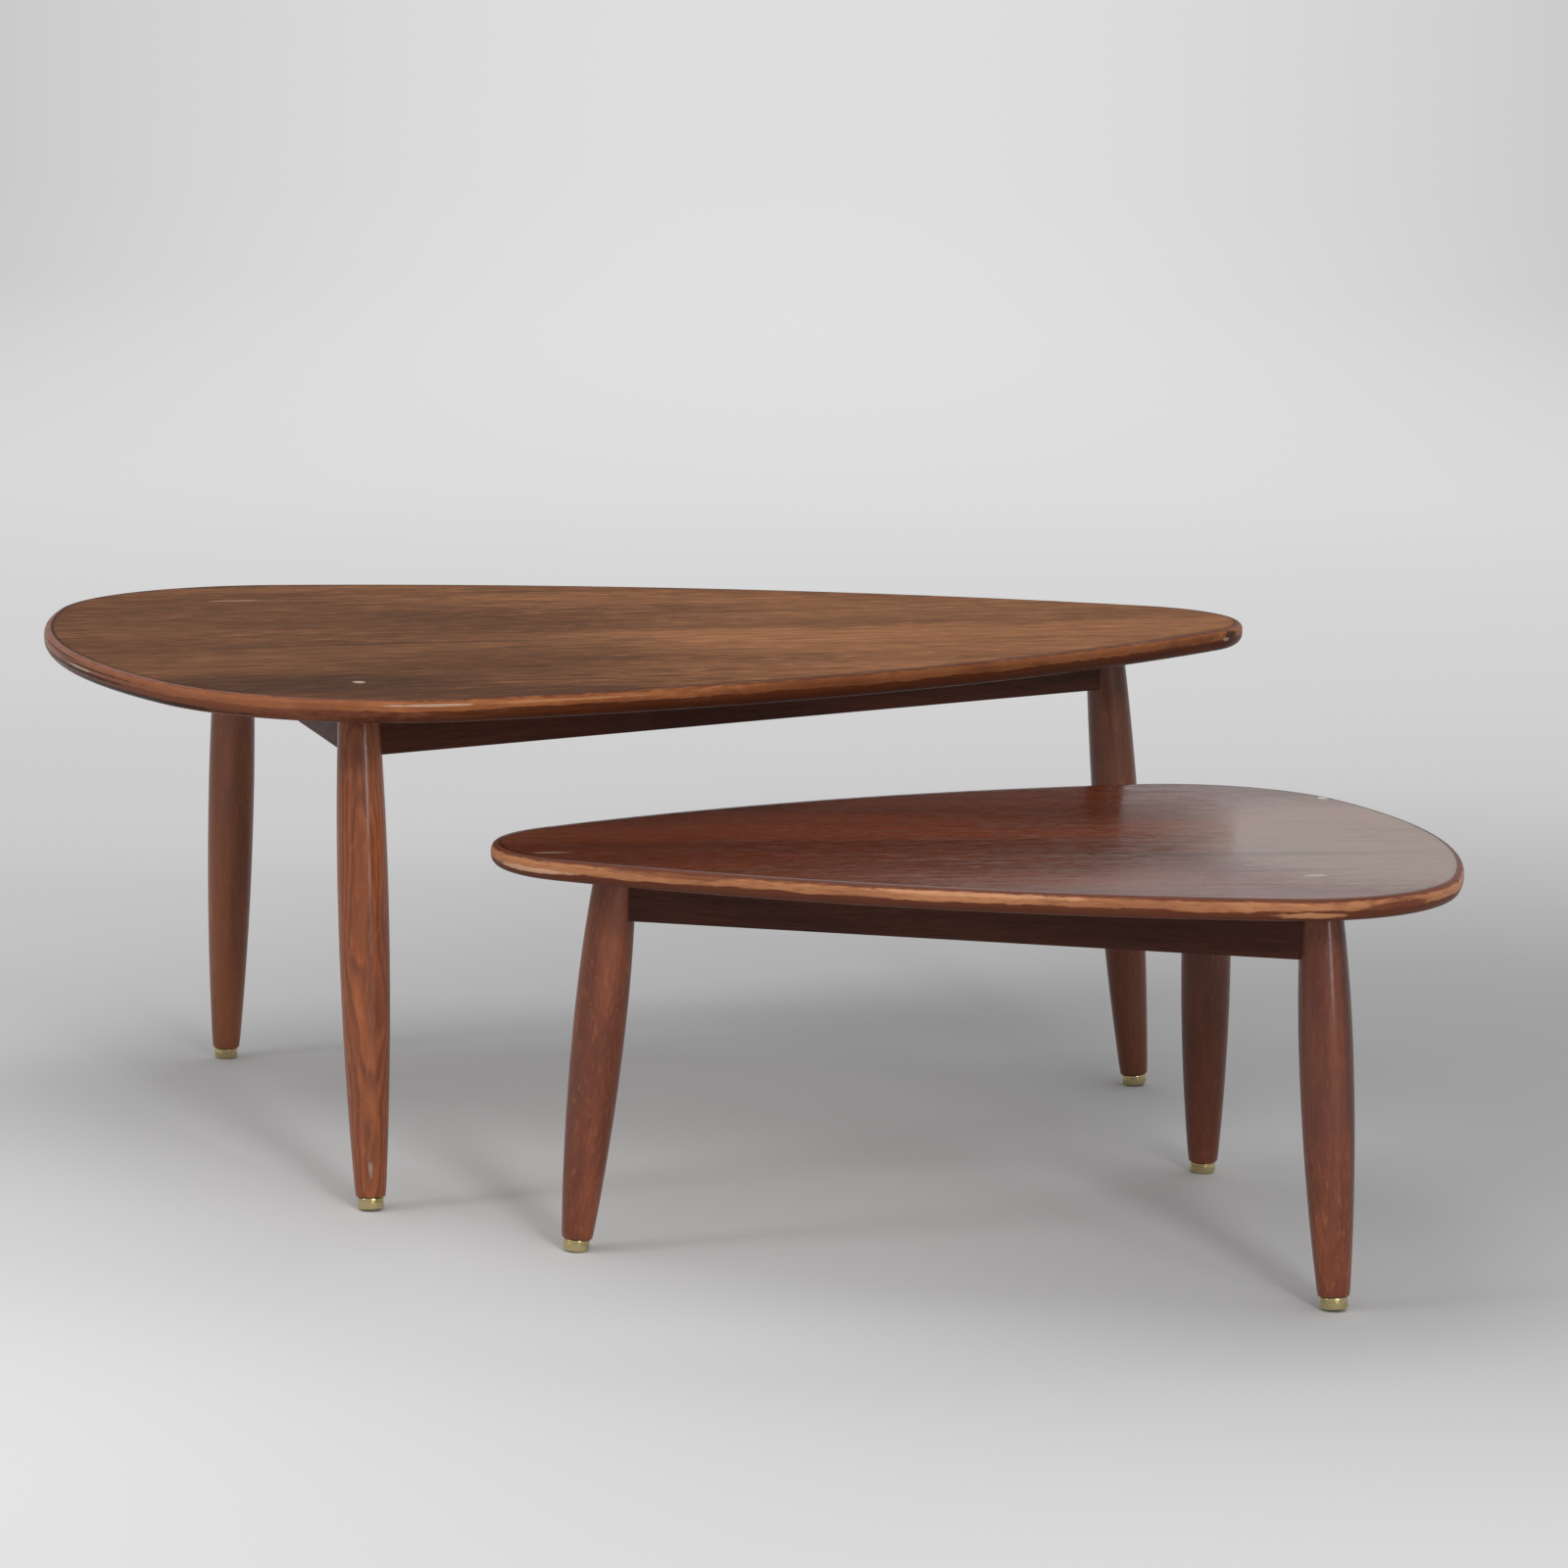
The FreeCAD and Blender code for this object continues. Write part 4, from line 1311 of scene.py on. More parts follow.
@dataclass
class Patterns:
    """The pieces that are modelled once and copied."""

    hardware: Hardware = field(default_factory=Hardware)
    bracket: Piece | None = None
    screw: Piece | None = None
    foot: Piece | None = None
    insert: Piece | None = None

    def build(self) -> None:
        """Model all the patterns."""
        self.bracket = self.make_bracket()
        self.screw = self.make_screw()
        self.foot = self.make_foot()
        self.insert = self.make_insert()

    def discard(self) -> None:
        """Delete the patterns once everything is copied from them."""
        discard(self.bracket, self.screw, self.foot, self.insert)

    def make_bracket(self) -> Piece:
        """Bend and drill an angle bracket: its corner at the origin, one arm along +Y, one down -Z.

        Returns:
            The pattern.
        """
        h = self.hardware
        middle = (0.0, h.bracket_wall / 2, -h.bracket_arm / 2)
        bpy.ops.mesh.primitive_cube_add(size=1.0, location=middle)
        piece = started("bracket_pattern")
        piece.scale = (h.bracket_width, h.bracket_wall, h.bracket_arm)
        settle(piece)
        with editing(piece):
            bpy.ops.mesh.select_all(action="SELECT")
            bpy.ops.mesh.bisect(
                plane_co=(0, 0, -h.bracket_wall), plane_no=(0, 0, 1), threshold=MERGE
            )
            near = h.bracket_wall - MERGE
            pick(piece, "FACE", lambda s: s.y > near and s.z > -near - 2 * MERGE)
            move = {"value": (0.0, h.bracket_arm - h.bracket_wall, 0.0)}
            bpy.ops.mesh.extrude_region_move(TRANSFORM_OT_translate=move)
            far = h.bracket_arm - MERGE
            side = h.bracket_width / 2 - MERGE
            for way in (1, -1):
                pick(piece, "EDGE", lambda s: s.x * way > side and (s.y > far or s.z < -far))
                bpy.ops.mesh.bevel(offset=h.bracket_corner, segments=6)
        close_up(piece)
        soften(piece, h.bracket_round, 2)
        for spot, turn in (((0, h.screw_reach, 0), 0.0), ((0, 0, -h.screw_reach), math.pi / 2)):
            bpy.ops.mesh.primitive_cylinder_add(
                vertices=32, radius=h.screw_hole, depth=0.02, location=spot, rotation=(turn, 0, 0)
            )
            drill = started("drill")
            settle(drill)
            carve(piece, drill)
            discard(drill)
        write_lay(piece, lambda spot: spot)
        smooth(piece)
        return piece

    def make_screw(self) -> Piece:
        """Turn a pan-head screw, its head below the origin, its shank up, and strike its cross recess.

        Returns:
            The pattern.
        """
        h = self.hardware
        crown = -h.head_height
        profile = [(radius, crown + rise) for radius, rise in h.head_dome]
        profile += [(h.head_radius, -h.head_edge), (h.head_radius - h.head_edge, 0.0)]
        profile += [(h.screw_radius, 0.0)]
        height = 0.8 * h.screw_pitch
        shank = h.screw_length - h.screw_point
        while height < shank - h.screw_pitch:
            profile.append((h.screw_radius, height))
            profile.append((h.screw_radius - h.screw_depth, height + h.screw_pitch / 2))
            height += h.screw_pitch
        profile += [(h.screw_radius * 0.8, shank), (0.0, h.screw_length)]
        piece = turned("screw_pattern", profile, 24)
        for turn in (0.0, math.pi / 2):
            bpy.ops.mesh.primitive_cube_add(size=1.0, location=(0, 0, crown), rotation=(0, 0, turn))
            blade = started("blade")
            blade.scale = h.recess
            settle(blade)
            carve(piece, blade)
            discard(blade)
        write_lay(piece, lambda spot: spot.zxy)
        smooth(piece)
        return piece

    def make_foot(self) -> Piece:
        """Turn a brass foot with its threaded stud, standing on its sole.

        Returns:
            The pattern.
        """
        h = self.hardware
        flat = h.foot_radius - h.foot_round
        top = h.foot_height
        profile = [*h.sole_dimple, (flat * 0.8, 0.0)]
        profile += corner((flat, h.foot_round), h.foot_round, 270.0, 6)
        for drop in h.foot_grooves:
            level = top - drop
            profile += [(h.foot_radius, level - h.groove_half)]
            profile += [(h.foot_radius - h.groove_depth, level)]
            profile += [(h.foot_radius, level + h.groove_half)]
        profile += corner((h.foot_radius - h.foot_edge, top - h.foot_edge), h.foot_edge, 0.0, 2)
        core = h.stud_radius - h.thread_depth
        profile += [(core, top)]
        level = top + h.thread_depth
        stop = top + h.stud_length
        while level < stop - 2 * h.thread_pitch:
            profile.append((core, level))
            for share in h.thread_crest:
                profile.append((h.stud_radius, level + share * h.thread_pitch))
            level += h.thread_pitch
        profile += [(core, stop - h.chamfer), (h.stud_end_radius, stop), (0.0, stop)]
        piece = turned("foot_pattern", profile, 72)
        write_lay(piece, lambda spot: spot.zxy)
        smooth(piece, 30)
        return piece

    def make_insert(self) -> Piece:
        """Turn the threaded insert, with its flange at the leg's lower end.

        Returns:
            The pattern.
        """
        h = self.hardware
        face = h.foot_height + h.seat_gap
        top = h.leg_end + h.insert_length
        blind = face + h.bore_depth
        profile = [(0.0, blind), (h.bore_radius, blind), (h.bore_radius, face)]
        edge = h.groove_half
        profile += [(h.flange_radius - edge, face), (h.flange_radius, face + edge)]
        profile += [(h.flange_radius, h.leg_end), (h.insert_radius, h.leg_end)]
        level = h.leg_end + h.insert_rib
        while level < top - h.insert_rib - h.chamfer:
            profile += [(h.insert_radius, level)]
            profile += [(h.insert_radius - h.thread_depth, level + h.insert_rib / 2)]
            level += h.insert_rib
        profile += [(h.insert_radius, top - h.chamfer), (h.insert_radius - h.chamfer, top)]
        profile += [(0.0, top)]
        piece = turned("insert_pattern", profile, 48)
        write_lay(piece, lambda spot: spot.zxy)
        smooth(piece, 30)
        return piece


@dataclass
class Table:
    """One of the two tables: top, lippings, legs, rails, fixings and feet."""

    name: TableName
    patterns: Patterns
    materials: dict[str, bpy.types.Material]

    def __post_init__(self) -> None:
        """Read the table's sizes and where it stands."""
        self.sizes = SIZES[self.name]
        self.hardware = self.patterns.hardware
        mounts = {mount["name"]: mount for mount in frame["record"]["mounts"]}
        spot = mounts[self.label("table_top")]["pos_m"]
        self.height = spot[2]
        self.underside = spot[2] - self.sizes.board
        turn = Matrix.Rotation(math.radians(self.sizes.turn), 4, "Z")
        self.place = Matrix.Translation((spot[0], spot[1], 0.0)) @ turn
        self.body = self.label("table")

    def label(self, part: str) -> str:
        """Give the name of one of this table's parts."""
        return f"{self.name.value}_{part}"

    def finish(self, piece: Piece, slot: str, body: str, *nodes: str) -> None:
        """Dress a piece, stand it in its place and say what it stands for.

        Args:
            piece: The piece, in the table's frame.
            slot: The material slot of its finish.
            body: The body it moves with.
            nodes: The CAD nodes it replaces.
        """
        stand(piece, self.place)
        piece.data.materials.clear()
        piece.data.materials.append(self.materials[slot])
        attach(piece, body)
        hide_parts(*nodes)
        LOG.info("%s: %d faces", piece.name, len(piece.data.polygons))

    def build(self) -> None:
        """Build the table from its top down."""
        self.build_face()
        self.build_backing()
        self.build_lippings()
        legs = self.build_legs()
        self.build_rails(legs)
        self.build_fixings()
        for leg in Leg:
            self.finish_leg(leg, legs[leg])
            self.build_foot(leg)
        self.dress_hidden()

    # ------------------------------------------------ top

    def sheet_of_wood(self, name: str, inset: float, low: float, high: float) -> Piece:
        """Cut a flat sheet to the outline.

        Args:
            name: The piece's name.
            inset: How far it stays in from the outline.
            low: Its lower level.
            high: Its upper level.

        Returns:
            The piece.
        """
        outline = self.sizes.outline
        rim = outline.tip_reach + outline.tip_radius - inset
        size = high - low
        bpy.ops.mesh.primitive_plane_add(
            size=size, location=(rim - size / 2, 0.0, low + size / 2), rotation=(math.pi / 2, 0, 0)
        )
        piece = started(name)
        settle(piece)
        arcs = [Arc(a.centre, a.radius - inset, a.start, a.stop) for a in outline.arcs()]
        with editing(piece):
            pick(piece, "VERT", lambda spot: spot.x < rim - MERGE)
            bpy.ops.mesh.delete(type="VERT")
            bpy.ops.mesh.select_all(action="SELECT")
            sweep(piece, arcs)
            bpy.ops.mesh.select_all(action="SELECT")
            bpy.ops.mesh.remove_doubles(threshold=SEAM)
            for level in (low, high):
                pick(piece, "EDGE", lambda spot: abs(spot.z - level) < MERGE)
                bpy.ops.mesh.edge_face_add()
            bpy.ops.mesh.select_all(action="SELECT")
            bpy.ops.mesh.normals_make_consistent(inside=False)
        return piece

    def build_face(self) -> None:
        """Lay the face veneer, its border eased all round."""
        margin = self.hardware.veneer_margin
        piece = self.sheet_of_wood(
            self.label("face_veneer"), margin, self.height - self.hardware.veneer, self.height
        )
        with editing(piece):
            pick(piece, "EDGE", lambda spot: abs(spot.z - self.height) < MERGE)
            bpy.ops.mesh.bevel(offset=self.hardware.veneer_round, segments=2)
            level = self.height - MERGE
            pick(piece, "FACE", lambda spot: spot.z > level)
            for width in self.hardware.border_rings:
                bpy.ops.mesh.inset(thickness=width)
        smooth(piece)
        write_lay(piece, self.face_lay)
        self.finish(piece, self.label("veneer"), self.body, self.label("top_veneer"))

    def face_lay(self, spot: Vector) -> Vector:
        """Give a face point's place along the top, across it and in from the veneer's border."""
        inset = self.sizes.outline.follow(spot)[1] - self.hardware.veneer_margin
        return Vector((spot.x, spot.y, inset))

    def build_backing(self) -> None:
        """Lay the backing veneer under the top."""
        piece = self.sheet_of_wood(
            self.label("backing"),
            self.hardware.lipping_width,
            self.underside,
            self.underside + self.hardware.veneer,
        )
        with editing(piece):
            pick(piece, "EDGE", lambda spot: abs(spot.z - self.underside) < MERGE)
            bpy.ops.mesh.bevel(offset=self.hardware.backing_round, segments=2)
        smooth(piece)
        write_lay(piece, lambda spot: Vector((spot.x + BACKING_SHIFT, spot.y, BACKING_DEPTH)))
        self.finish(piece, "backing_veneer", self.body, self.label("backing_veneer"))

    def rim_section(self, name: str) -> Piece:
        """Shape the lipping's section beside the origin: the outline at x = 0, the table inwards.

        Args:
            name: The piece's name.

        Returns:
            The section as one upright face.
        """
        h = self.hardware
        low, high = self.underside, self.height - h.veneer
        middle = (-h.lipping_width / 2, 0.0, (low + high) / 2)
        bpy.ops.mesh.primitive_plane_add(size=1.0, location=middle, rotation=(math.pi / 2, 0, 0))
        piece = started(name)
        piece.scale = (h.lipping_width, high - low, 1.0)
        settle(piece)
        with editing(piece):
            bpy.ops.mesh.select_all(action="SELECT")
            bpy.ops.mesh.bisect(
                plane_co=(-h.veneer_margin, 0, 0), plane_no=(1, 0, 0), threshold=MERGE
            )
            inner = -h.veneer_margin - MERGE
            pick(piece, "EDGE", lambda spot: spot.x > inner and spot.z > high - MERGE)
            bpy.ops.mesh.extrude_region_move(TRANSFORM_OT_translate={"value": (0, 0, h.veneer)})
            bpy.ops.mesh.select_all(action="SELECT")
            bpy.ops.mesh.dissolve_limited(angle_limit=math.radians(1))
            pick(piece, "VERT", lambda spot: spot.x > -MERGE and spot.z > high)
            nose = h.veneer_margin - h.nose_flat
            bpy.ops.mesh.bevel(offset=nose, segments=10, affect="VERTICES")
            pick(piece, "VERT", lambda spot: spot.x > -MERGE and spot.z < low + MERGE)
            bpy.ops.mesh.bevel(offset=self.sizes.under_round, segments=12, affect="VERTICES")
        return piece

    def build_lippings(self) -> None:
        """Bend the three lengths of lipping round the top."""
        outline = self.sizes.outline
        sides = {"left": "back", "end": "end", "right": "front"}
        if self.sizes.front_side > 0:
            sides.update(left="front", right="back")
        for side, arcs in outline.lengths().items():
            part = sides[side]
            piece = self.rim_section(self.label(f"edge_{part}"))
            start = arcs[0]
            turn = Matrix.Rotation(start.start, 4, "Z")
            reach = start.centre + turn @ Vector((start.radius, 0.0, 0.0))
            stand(piece, Matrix.Translation(reach) @ turn)
            with editing(piece):
                bpy.ops.mesh.select_all(action="SELECT")
                sweep(piece, arcs, 0.006)
            close_up(piece)
            smooth(piece)
            write_lay(piece, self.rim_lay)
            nodes = self.label(f"lipping_{part}")
            self.finish(piece, self.label("lipping"), self.body, nodes)

    def rim_lay(self, spot: Vector) -> Vector:
        """Give a lipping point's way round the outline, in from it and below the top."""
        gone, inset = self.sizes.outline.follow(spot)
        return Vector((gone, inset, spot.z - self.height))

    # ------------------------------------------------ legs

    def leg_axis(self, leg: Leg) -> tuple[Vector, Vector]:
        """Give where a leg's axis meets the floor and the underside.

        Args:
            leg: The leg.

        Returns:
            Both points, in the table's frame.
        """
        s = self.sizes
        if leg is Leg.TIP:
            foot = Vector((s.tip_foot, 0.0, 0.0))
            return foot, foot + Vector((-s.tip_lean, 0.0, self.underside))
        side = s.front_side if leg is Leg.FRONT else -s.front_side
        foot = Vector((-s.side_foot, side * s.foot_spread, 0.0))
        return foot, foot + Vector((s.end_lean, -side * s.side_lean, self.underside))

    def leg_place(self, leg: Leg) -> Matrix:
        """Give the frame of a leg: the middle of its sole, and +Z up along it.

        Args:
            leg: The leg.

        Returns:
            The frame, in the table's frame.
        """
        floor, top = self.leg_axis(leg)
        way = (top - floor).normalized()
        tilt = way.angle(UP)
        rounding = self.hardware.foot_round
        flat = self.hardware.foot_radius - rounding
        lift = (rounding + flat * math.sin(tilt)) / math.cos(tilt) - rounding
        turn = UP.rotation_difference(way).to_matrix().to_4x4()
        return Matrix.Translation(floor + way * lift) @ turn

    def build_legs(self) -> dict[Leg, Piece]:
        """Turn one leg and copy it three times.

        Returns:
            The legs in the table's frame, still too long.
        """
        s, h = self.sizes, self.hardware
        low = h.leg_end
        hollow = low + h.insert_length
        thick = (h.leg_belly_radius, s.belly_height)
        eased = h.leg_end_round
        inner = 0.3 * eased
        profile = [(0.0, hollow), (h.insert_radius, hollow), (h.insert_radius, low)]
        profile += [(h.leg_end_radius - eased, low), (h.leg_end_radius - inner, low + inner)]
        profile += arch((h.leg_end_radius, low), thick, 30)[1:]
        profile += arch((s.leg_top_radius, s.leg_blank), thick, 22)[-2::-1]
        profile.append((0.0, s.leg_blank))
        pattern = turned(self.label("leg_pattern"), profile, 64)
        legs = {}
        for leg in Leg:
            piece = copy_of(pattern, self.label(f"turned_leg_{leg.value}"))
            stand(piece, self.leg_place(leg))
            legs[leg] = piece
        discard(pattern)
        return legs

    def finish_leg(self, leg: Leg, piece: Piece) -> None:
        """Trim a leg under the top and dress it, with a figure of its own.

        Args:
            leg: Which leg it is.
            piece: The leg, in the table's frame.
        """
        with editing(piece):
            bpy.ops.mesh.select_all(action="SELECT")
            bpy.ops.mesh.bisect(
                plane_co=(0, 0, self.underside),
                plane_no=UP,
                use_fill=True,
                clear_outer=True,
                threshold=MERGE,
            )
        close_up(piece)
        smooth(piece, 40)
        figure = LEG_FIGURES[self.name, leg]
        turn = Matrix.Rotation(math.radians(figure.turn), 4, "Z") @ self.leg_place(leg).inverted()
        shift = Vector((figure.shift, 0.0, 0.0))
        write_lay(piece, lambda spot: (turn @ spot).zxy + shift)
        node = self.label(f"leg_{leg.value}")
        self.finish(piece, self.label("leg_wood"), self.body, node)

    def build_foot(self, leg: Leg) -> None:
        """Set the threaded insert and the brass foot into a leg.

        Args:
            leg: The leg.
        """
        where = leg.value
        insert = copy_of(self.patterns.insert, self.label(f"leg_socket_{where}"))
        stand(insert, self.leg_place(leg))
        self.finish(insert, "brass", self.body, self.label(f"foot_insert_{where}"))
        foot = copy_of(self.patterns.foot, self.label(f"brass_foot_{where}"))
        stand(foot, self.leg_place(leg))
        node = self.label(f"foot_{where}")
        self.finish(foot, "brass", node, node)

    # ------------------------------------------------ rails and fixings

    def rail_ends(self, rail: Rail) -> tuple[Vector, Vector]:
        """Give the middle of a rail's two ends, on the leg axes.

        Args:
            rail: The rail.

        Returns:
            Both points, in the table's frame.
        """
        share = 1 - self.hardware.rail_depth / 2 / self.underside
        ends = []
        for leg in rail.value[1:]:
            floor, top = self.leg_axis(leg)
            ends.append(floor.lerp(top, share))
        return ends[0], ends[1]

    def rail_frame(self, rail: Rail, share: float) -> Matrix:
        """Give a frame on a rail's middle line: +Y towards the table's middle, +Z up.

        Args:
            rail: The rail.
            share: How far along it, from 0 to 1.

        Returns:
            The frame, in the table's frame.
        """
        start, stop = self.rail_ends(rail)
        way = (stop - start).normalized()
        inward = Vector((-way.y, way.x, 0.0))
        if inward.dot(start) > 0:
            inward.negate()
        axes = Matrix((inward.cross(UP), inward, UP)).transposed().to_4x4()
        return Matrix.Translation(start.lerp(stop, share)) @ axes

    def build_rails(self, legs: dict[Leg, Piece]) -> None:
        """Saw the rails, mitre the two that meet at the tip, and cope them to the legs.

        Args:
            legs: The legs, in the table's frame.
        """
        h = self.hardware
        for rail in Rail:
            where = rail.value[0]
            start, stop = self.rail_ends(rail)
            frame_here = self.rail_frame(rail, 0.5)
            bpy.ops.mesh.primitive_cube_add(size=1.0)
            piece = started(self.label(f"apron_{where}"))
            piece.scale = ((stop - start).length, h.rail_width, h.rail_depth)
            settle(piece)
            soften(piece, h.rail_round)
            stand(piece, frame_here)
            if rail is not Rail.END:
                side = self.sizes.front_side * (1 if rail is Rail.FRONT else -1)
                with editing(piece):
                    bpy.ops.mesh.select_all(action="SELECT")
                    bpy.ops.mesh.bisect(
                        plane_co=(0, 0, 0),
                        plane_no=(0, -side, 0),
                        use_fill=True,
                        clear_outer=True,
                        threshold=MERGE,
                    )
            for leg in rail.value[1:]:
                carve(piece, legs[leg])
            close_up(piece)
            smooth(piece)
            inverse = frame_here.inverted()
            shift = Vector((RAIL_SHIFTS[self.name] * (1 + len(where)), 0.0, 0.0))
            write_lay(piece, lambda spot: inverse @ spot + shift)
            self.finish(piece, "rail_wood", self.body, self.label(f"rail_{where}"))

    def build_fixings(self) -> None:
        """Screw the brackets to the rails and up into the top."""
        h = self.hardware
        brackets, upward, sideways = [], [], []
        arm_up = Matrix.Translation((0.0, h.screw_reach, -h.bracket_wall))
        arm_out = Matrix.Translation((0.0, h.bracket_wall, -h.screw_reach))
        arm_out = arm_out @ Matrix.Rotation(math.pi / 2, 4, "X")
        for rail in Rail:
            for share in h.bracket_spots:
                base = self.rail_frame(rail, share)
                base = base @ Matrix.Translation((0.0, h.rail_width / 2, h.rail_depth / 2))
                for pattern, group, place in (
                    (self.patterns.bracket, brackets, base),
                    (self.patterns.screw, upward, base @ arm_up),
                    (self.patterns.screw, sideways, base @ arm_out),
                ):
                    copy = copy_of(pattern, "fixing")
                    stand(copy, place)
                    group.append(copy)
        for name, node, group in (
            ("angle_brackets", "top_brackets", brackets),
            ("screws_into_top", "top_screws", upward),
            ("screws_into_rails", "rail_screws", sideways),
        ):
            whole = joined(self.label(name), group)
            self.finish(whole, "steel", self.body, self.label(node))

    def dress_hidden(self) -> None:
        """Give the pieces inside the top and the joints their finishes."""
        for part, slot in (("top_core", "core_board"), ("rail_dowels", "dowel_wood")):
            node = frame["nodes"][self.label(part)]
            node.data.materials.clear()
            node.data.materials.append(self.materials[slot])


# ---------------------------------------------------------------- studio


@dataclass(frozen=True)
class Softbox:
    """A soft lamp: where it stands, what it points at, its size, power and tint."""

    name: str
    spot: Spot
    aim: Spot
    size: tuple[float, float]
    power: float
    tint: Colour = (1.0, 1.0, 1.0)

    def build(self) -> None:
        """Set the lamp up."""
        bpy.ops.object.light_add(type="AREA", location=self.spot)
        lamp = bpy.context.active_object
        lamp.name = lamp.data.name = self.name
        lamp.data.shape = "RECTANGLE"
        lamp.data.size, lamp.data.size_y = self.size
        lamp.data.energy = self.power
        lamp.data.color = self.tint
        way = Vector(self.aim) - Vector(self.spot)
        lamp.rotation_euler = way.to_track_quat("-Z", "Y").to_euler()


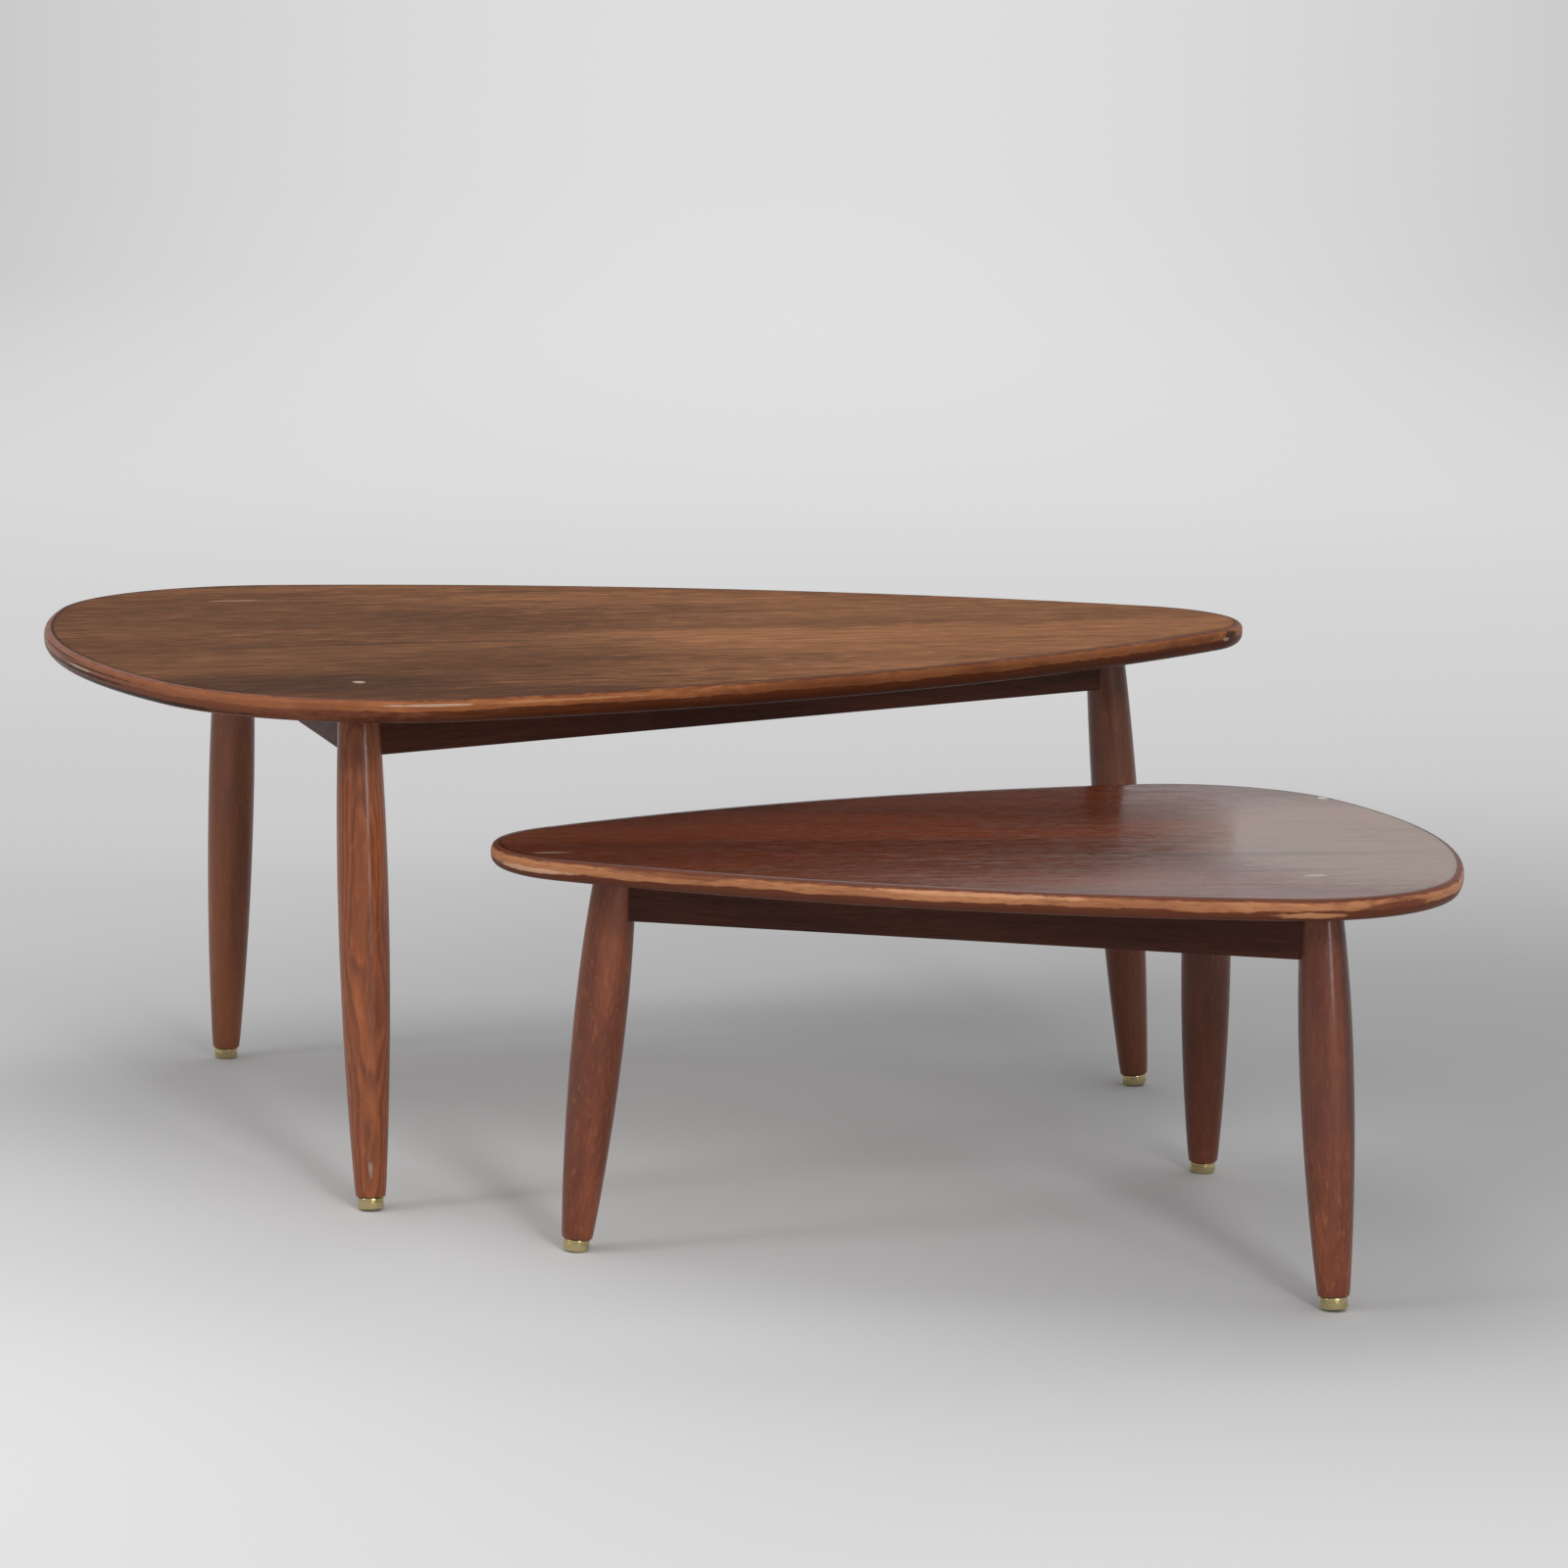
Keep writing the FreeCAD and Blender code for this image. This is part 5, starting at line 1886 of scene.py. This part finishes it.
@dataclass(frozen=True)
class Studio:
    """The floor, the lights and the camera."""

    floor_side: float = 900.0
    floor_run: tuple[float, float] = (-2.0, 20.0)
    # Painted light and shade: the floor's grey from near to far, darkest round the tables and lighter
    # near and far.
    floor_greys: tuple[tuple[float, float], ...] = (
        (-1.9, 0.58),
        (-0.6, 0.47),
        (0.5, 0.46),
        (1.5, 0.50),
        (3.0, 0.58),
        (6.0, 0.77),
        (11.0, 0.82),
        (20.0, 0.80),
    )
    # Soft floor patches: place, size and gain; a negative gain paints shadow, a positive one paints
    # light over the tables' real shadows.
    floor_light_and_shade_patches: tuple[tuple[float, float, float, float, float], ...] = (
        (0.95, 0.35, 1.7, 1.9, -0.36),
        (0.0, 0.1, 0.80, 0.60, 0.85),
        (0.42, 0.62, 0.45, 0.25, -0.15),
        (-1.0, -0.4, 1.1, 1.1, 0.22),
        (0.12, -0.36, 0.66, 0.38, 0.42),
    )
    # Painted fall-off: the floor darker to both sides far away.
    fan_run: tuple[float, float] = (3.0, 14.0)
    fan_fall: float = 8.0
    fan_limit: float = 0.03
    camera_spot: Spot = (-1.2856, -4.2300, 1.0454)
    heading: tuple[float, float] = (0.2998, 0.9540)
    pitch: float = 0.1574
    roll: float = 0.0161
    lens: float = 117.08
    sky_low: Colour = (0.45, 0.45, 0.45)
    sky_high: Colour = (1.0, 0.995, 1.0)
    sky_power: float = 1.0
    lamps: tuple[Softbox, ...] = (
        Softbox("key_light", (0.2, -5.6, 3.0), (0.1, -0.2, 0.2), (0.9, 0.9), 100.0),
        Softbox("strip_light", (1.6, -5.6, 1.4), (-0.1, -0.3, 0.3), (0.8, 1.6), 34.0),
        Softbox("side_light", (-4.2, -0.6, 2.2), (0.0, 0.0, 0.2), (1.0, 1.0), 28.0),
        Softbox("top_light", (-0.4, 0.2, 4.2), (0.0, 0.0, 0.3), (2.6, 2.0), 38.0),
    )

    def build(self) -> None:
        """Set up everything that isn't the object."""
        self.build_floor()
        self.build_sky()
        for lamp in self.lamps:
            lamp.build()
        self.build_camera()

    def build_floor(self) -> None:
        """Roll out the pale floor, graded and patched with painted light and shade."""
        bpy.ops.mesh.primitive_plane_add(size=self.floor_side, location=(0, 0, -FLOOR_GAP))
        floor = started("studio_floor")
        settle(floor)
        made = bpy.data.materials.new("studio_floor")
        graph = Graph(made)
        spot = graph.node("TexCoord").outputs["Object"]
        away = graph.vector("DOT_PRODUCT", spot, (*self.heading, 0.0)).outputs["Value"]
        colour = self.floor_grey(graph, away)
        level = graph.grey(self.floor_light(graph, spot, away))
        colour = graph.mix(1.0, colour, level, "MULTIPLY")
        graph.surface({"Base Color": colour, "Roughness": 0.9, "Specular IOR Level": 0.0})
        floor.data.materials.append(made)

    def floor_grey(self, graph: Graph, away: Socket) -> Socket:
        """Grade the floor's painted brightness from near to far.

        Args:
            graph: The floor's graph.
            away: How far a point lies beyond the middle of the tables.

        Returns:
            The grey's socket.
        """
        near, far = self.floor_run
        share = graph.node("MapRange", {0: away, 1: near, 2: far}).outputs[0]
        grey = graph.node("ValToRGB", {0: share})
        ramp = grey.color_ramp
        ramp.interpolation = "B_SPLINE"
        for number, (place, value) in enumerate(self.floor_greys):
            position = (place - near) / (far - near)
            if number > 1:
                ramp.elements.new(position)
            ramp.elements[number].position = position
            ramp.elements[number].color = (value, value, value, 1.0)
        return grey.outputs[0]

    def floor_light(self, graph: Graph, spot: Socket, away: Socket) -> Socket:
        """Vary the floor's brightness with painted light and shade: darker to both sides far away, and
        in soft patches of painted shadow and painted light.

        Args:
            graph: The floor's graph.
            spot: The point on the floor.
            away: How far it lies beyond the middle of the tables.

        Returns:
            What the grey is multiplied by.
        """
        across = (self.heading[1], -self.heading[0], 0.0)
        aside = graph.vector("DOT_PRODUCT", spot, across).outputs["Value"]
        back = -sum(part * way for part, way in zip(self.camera_spot, self.heading))
        side = -sum(part * way for part, way in zip(self.camera_spot, across))
        fan = graph.math("DIVIDE", graph.math("ADD", aside, side), graph.math("ADD", away, back))
        fan = graph.math("MINIMUM", graph.math("MULTIPLY", fan, fan), self.fan_limit)
        reach = graph.between(away, *self.fan_run, (0.0, -self.fan_fall))
        level = graph.math("MULTIPLY_ADD", fan, reach, 1.0)
        for x, y, width, depth, gain in self.floor_light_and_shade_patches:
            place = graph.scaled(spot, (1 / width, 1 / depth, 0.0), (-x / width, -y / depth, 0.0))
            gone = graph.vector("LENGTH", place).outputs["Value"]
            level = graph.math("MULTIPLY", level, graph.between(gone, 1.0, 0.0, (1.0, 1.0 + gain)))
        return level

    def build_sky(self) -> None:
        """Fill the studio with soft light, brighter overhead."""
        world = bpy.data.worlds.new("studio")
        bpy.context.scene.world = world
        graph = Graph(world)
        way = graph.node("TexCoord").outputs["Generated"]
        height = graph.node("SeparateXYZ", {0: way}).outputs[2]
        colour = graph.mix(graph.between(height, 0.0, 0.7), self.sky_low, self.sky_high)
        light = graph.node("Background", {"Color": colour, "Strength": self.sky_power})
        graph.node("OutputWorld", {0: light.outputs[0]})

    def build_camera(self) -> None:
        """Set up the camera."""
        bpy.ops.object.camera_add(location=self.camera_spot)
        camera = bpy.context.active_object
        level = math.cos(self.pitch)
        way = Vector((self.heading[0] * level, self.heading[1] * level, -math.sin(self.pitch)))
        camera.rotation_mode = "QUATERNION"
        turn = way.to_track_quat("-Z", "Y") @ Quaternion((0, 0, 1), self.roll)
        camera.rotation_quaternion = turn
        camera.data.lens = self.lens
        camera.data.sensor_width = SENSOR
        camera.data.clip_end = self.floor_side
        scene = bpy.context.scene
        scene.camera = camera
        scene.view_settings.view_transform = "Standard"
        scene.view_settings.look = "None"


def main() -> None:
    """Build the two tables and the studio round them."""
    logging.basicConfig(level=logging.INFO, format="%(message)s")
    materials = {finish.name: finish.material() for finish in FINISHES}
    patterns = Patterns()
    patterns.build()
    for name in TableName:
        LOG.info("building the %s table", name.value)
        Table(name, patterns, materials).build()
    patterns.discard()
    Studio().build()


if __name__ == "__main__":
    main()
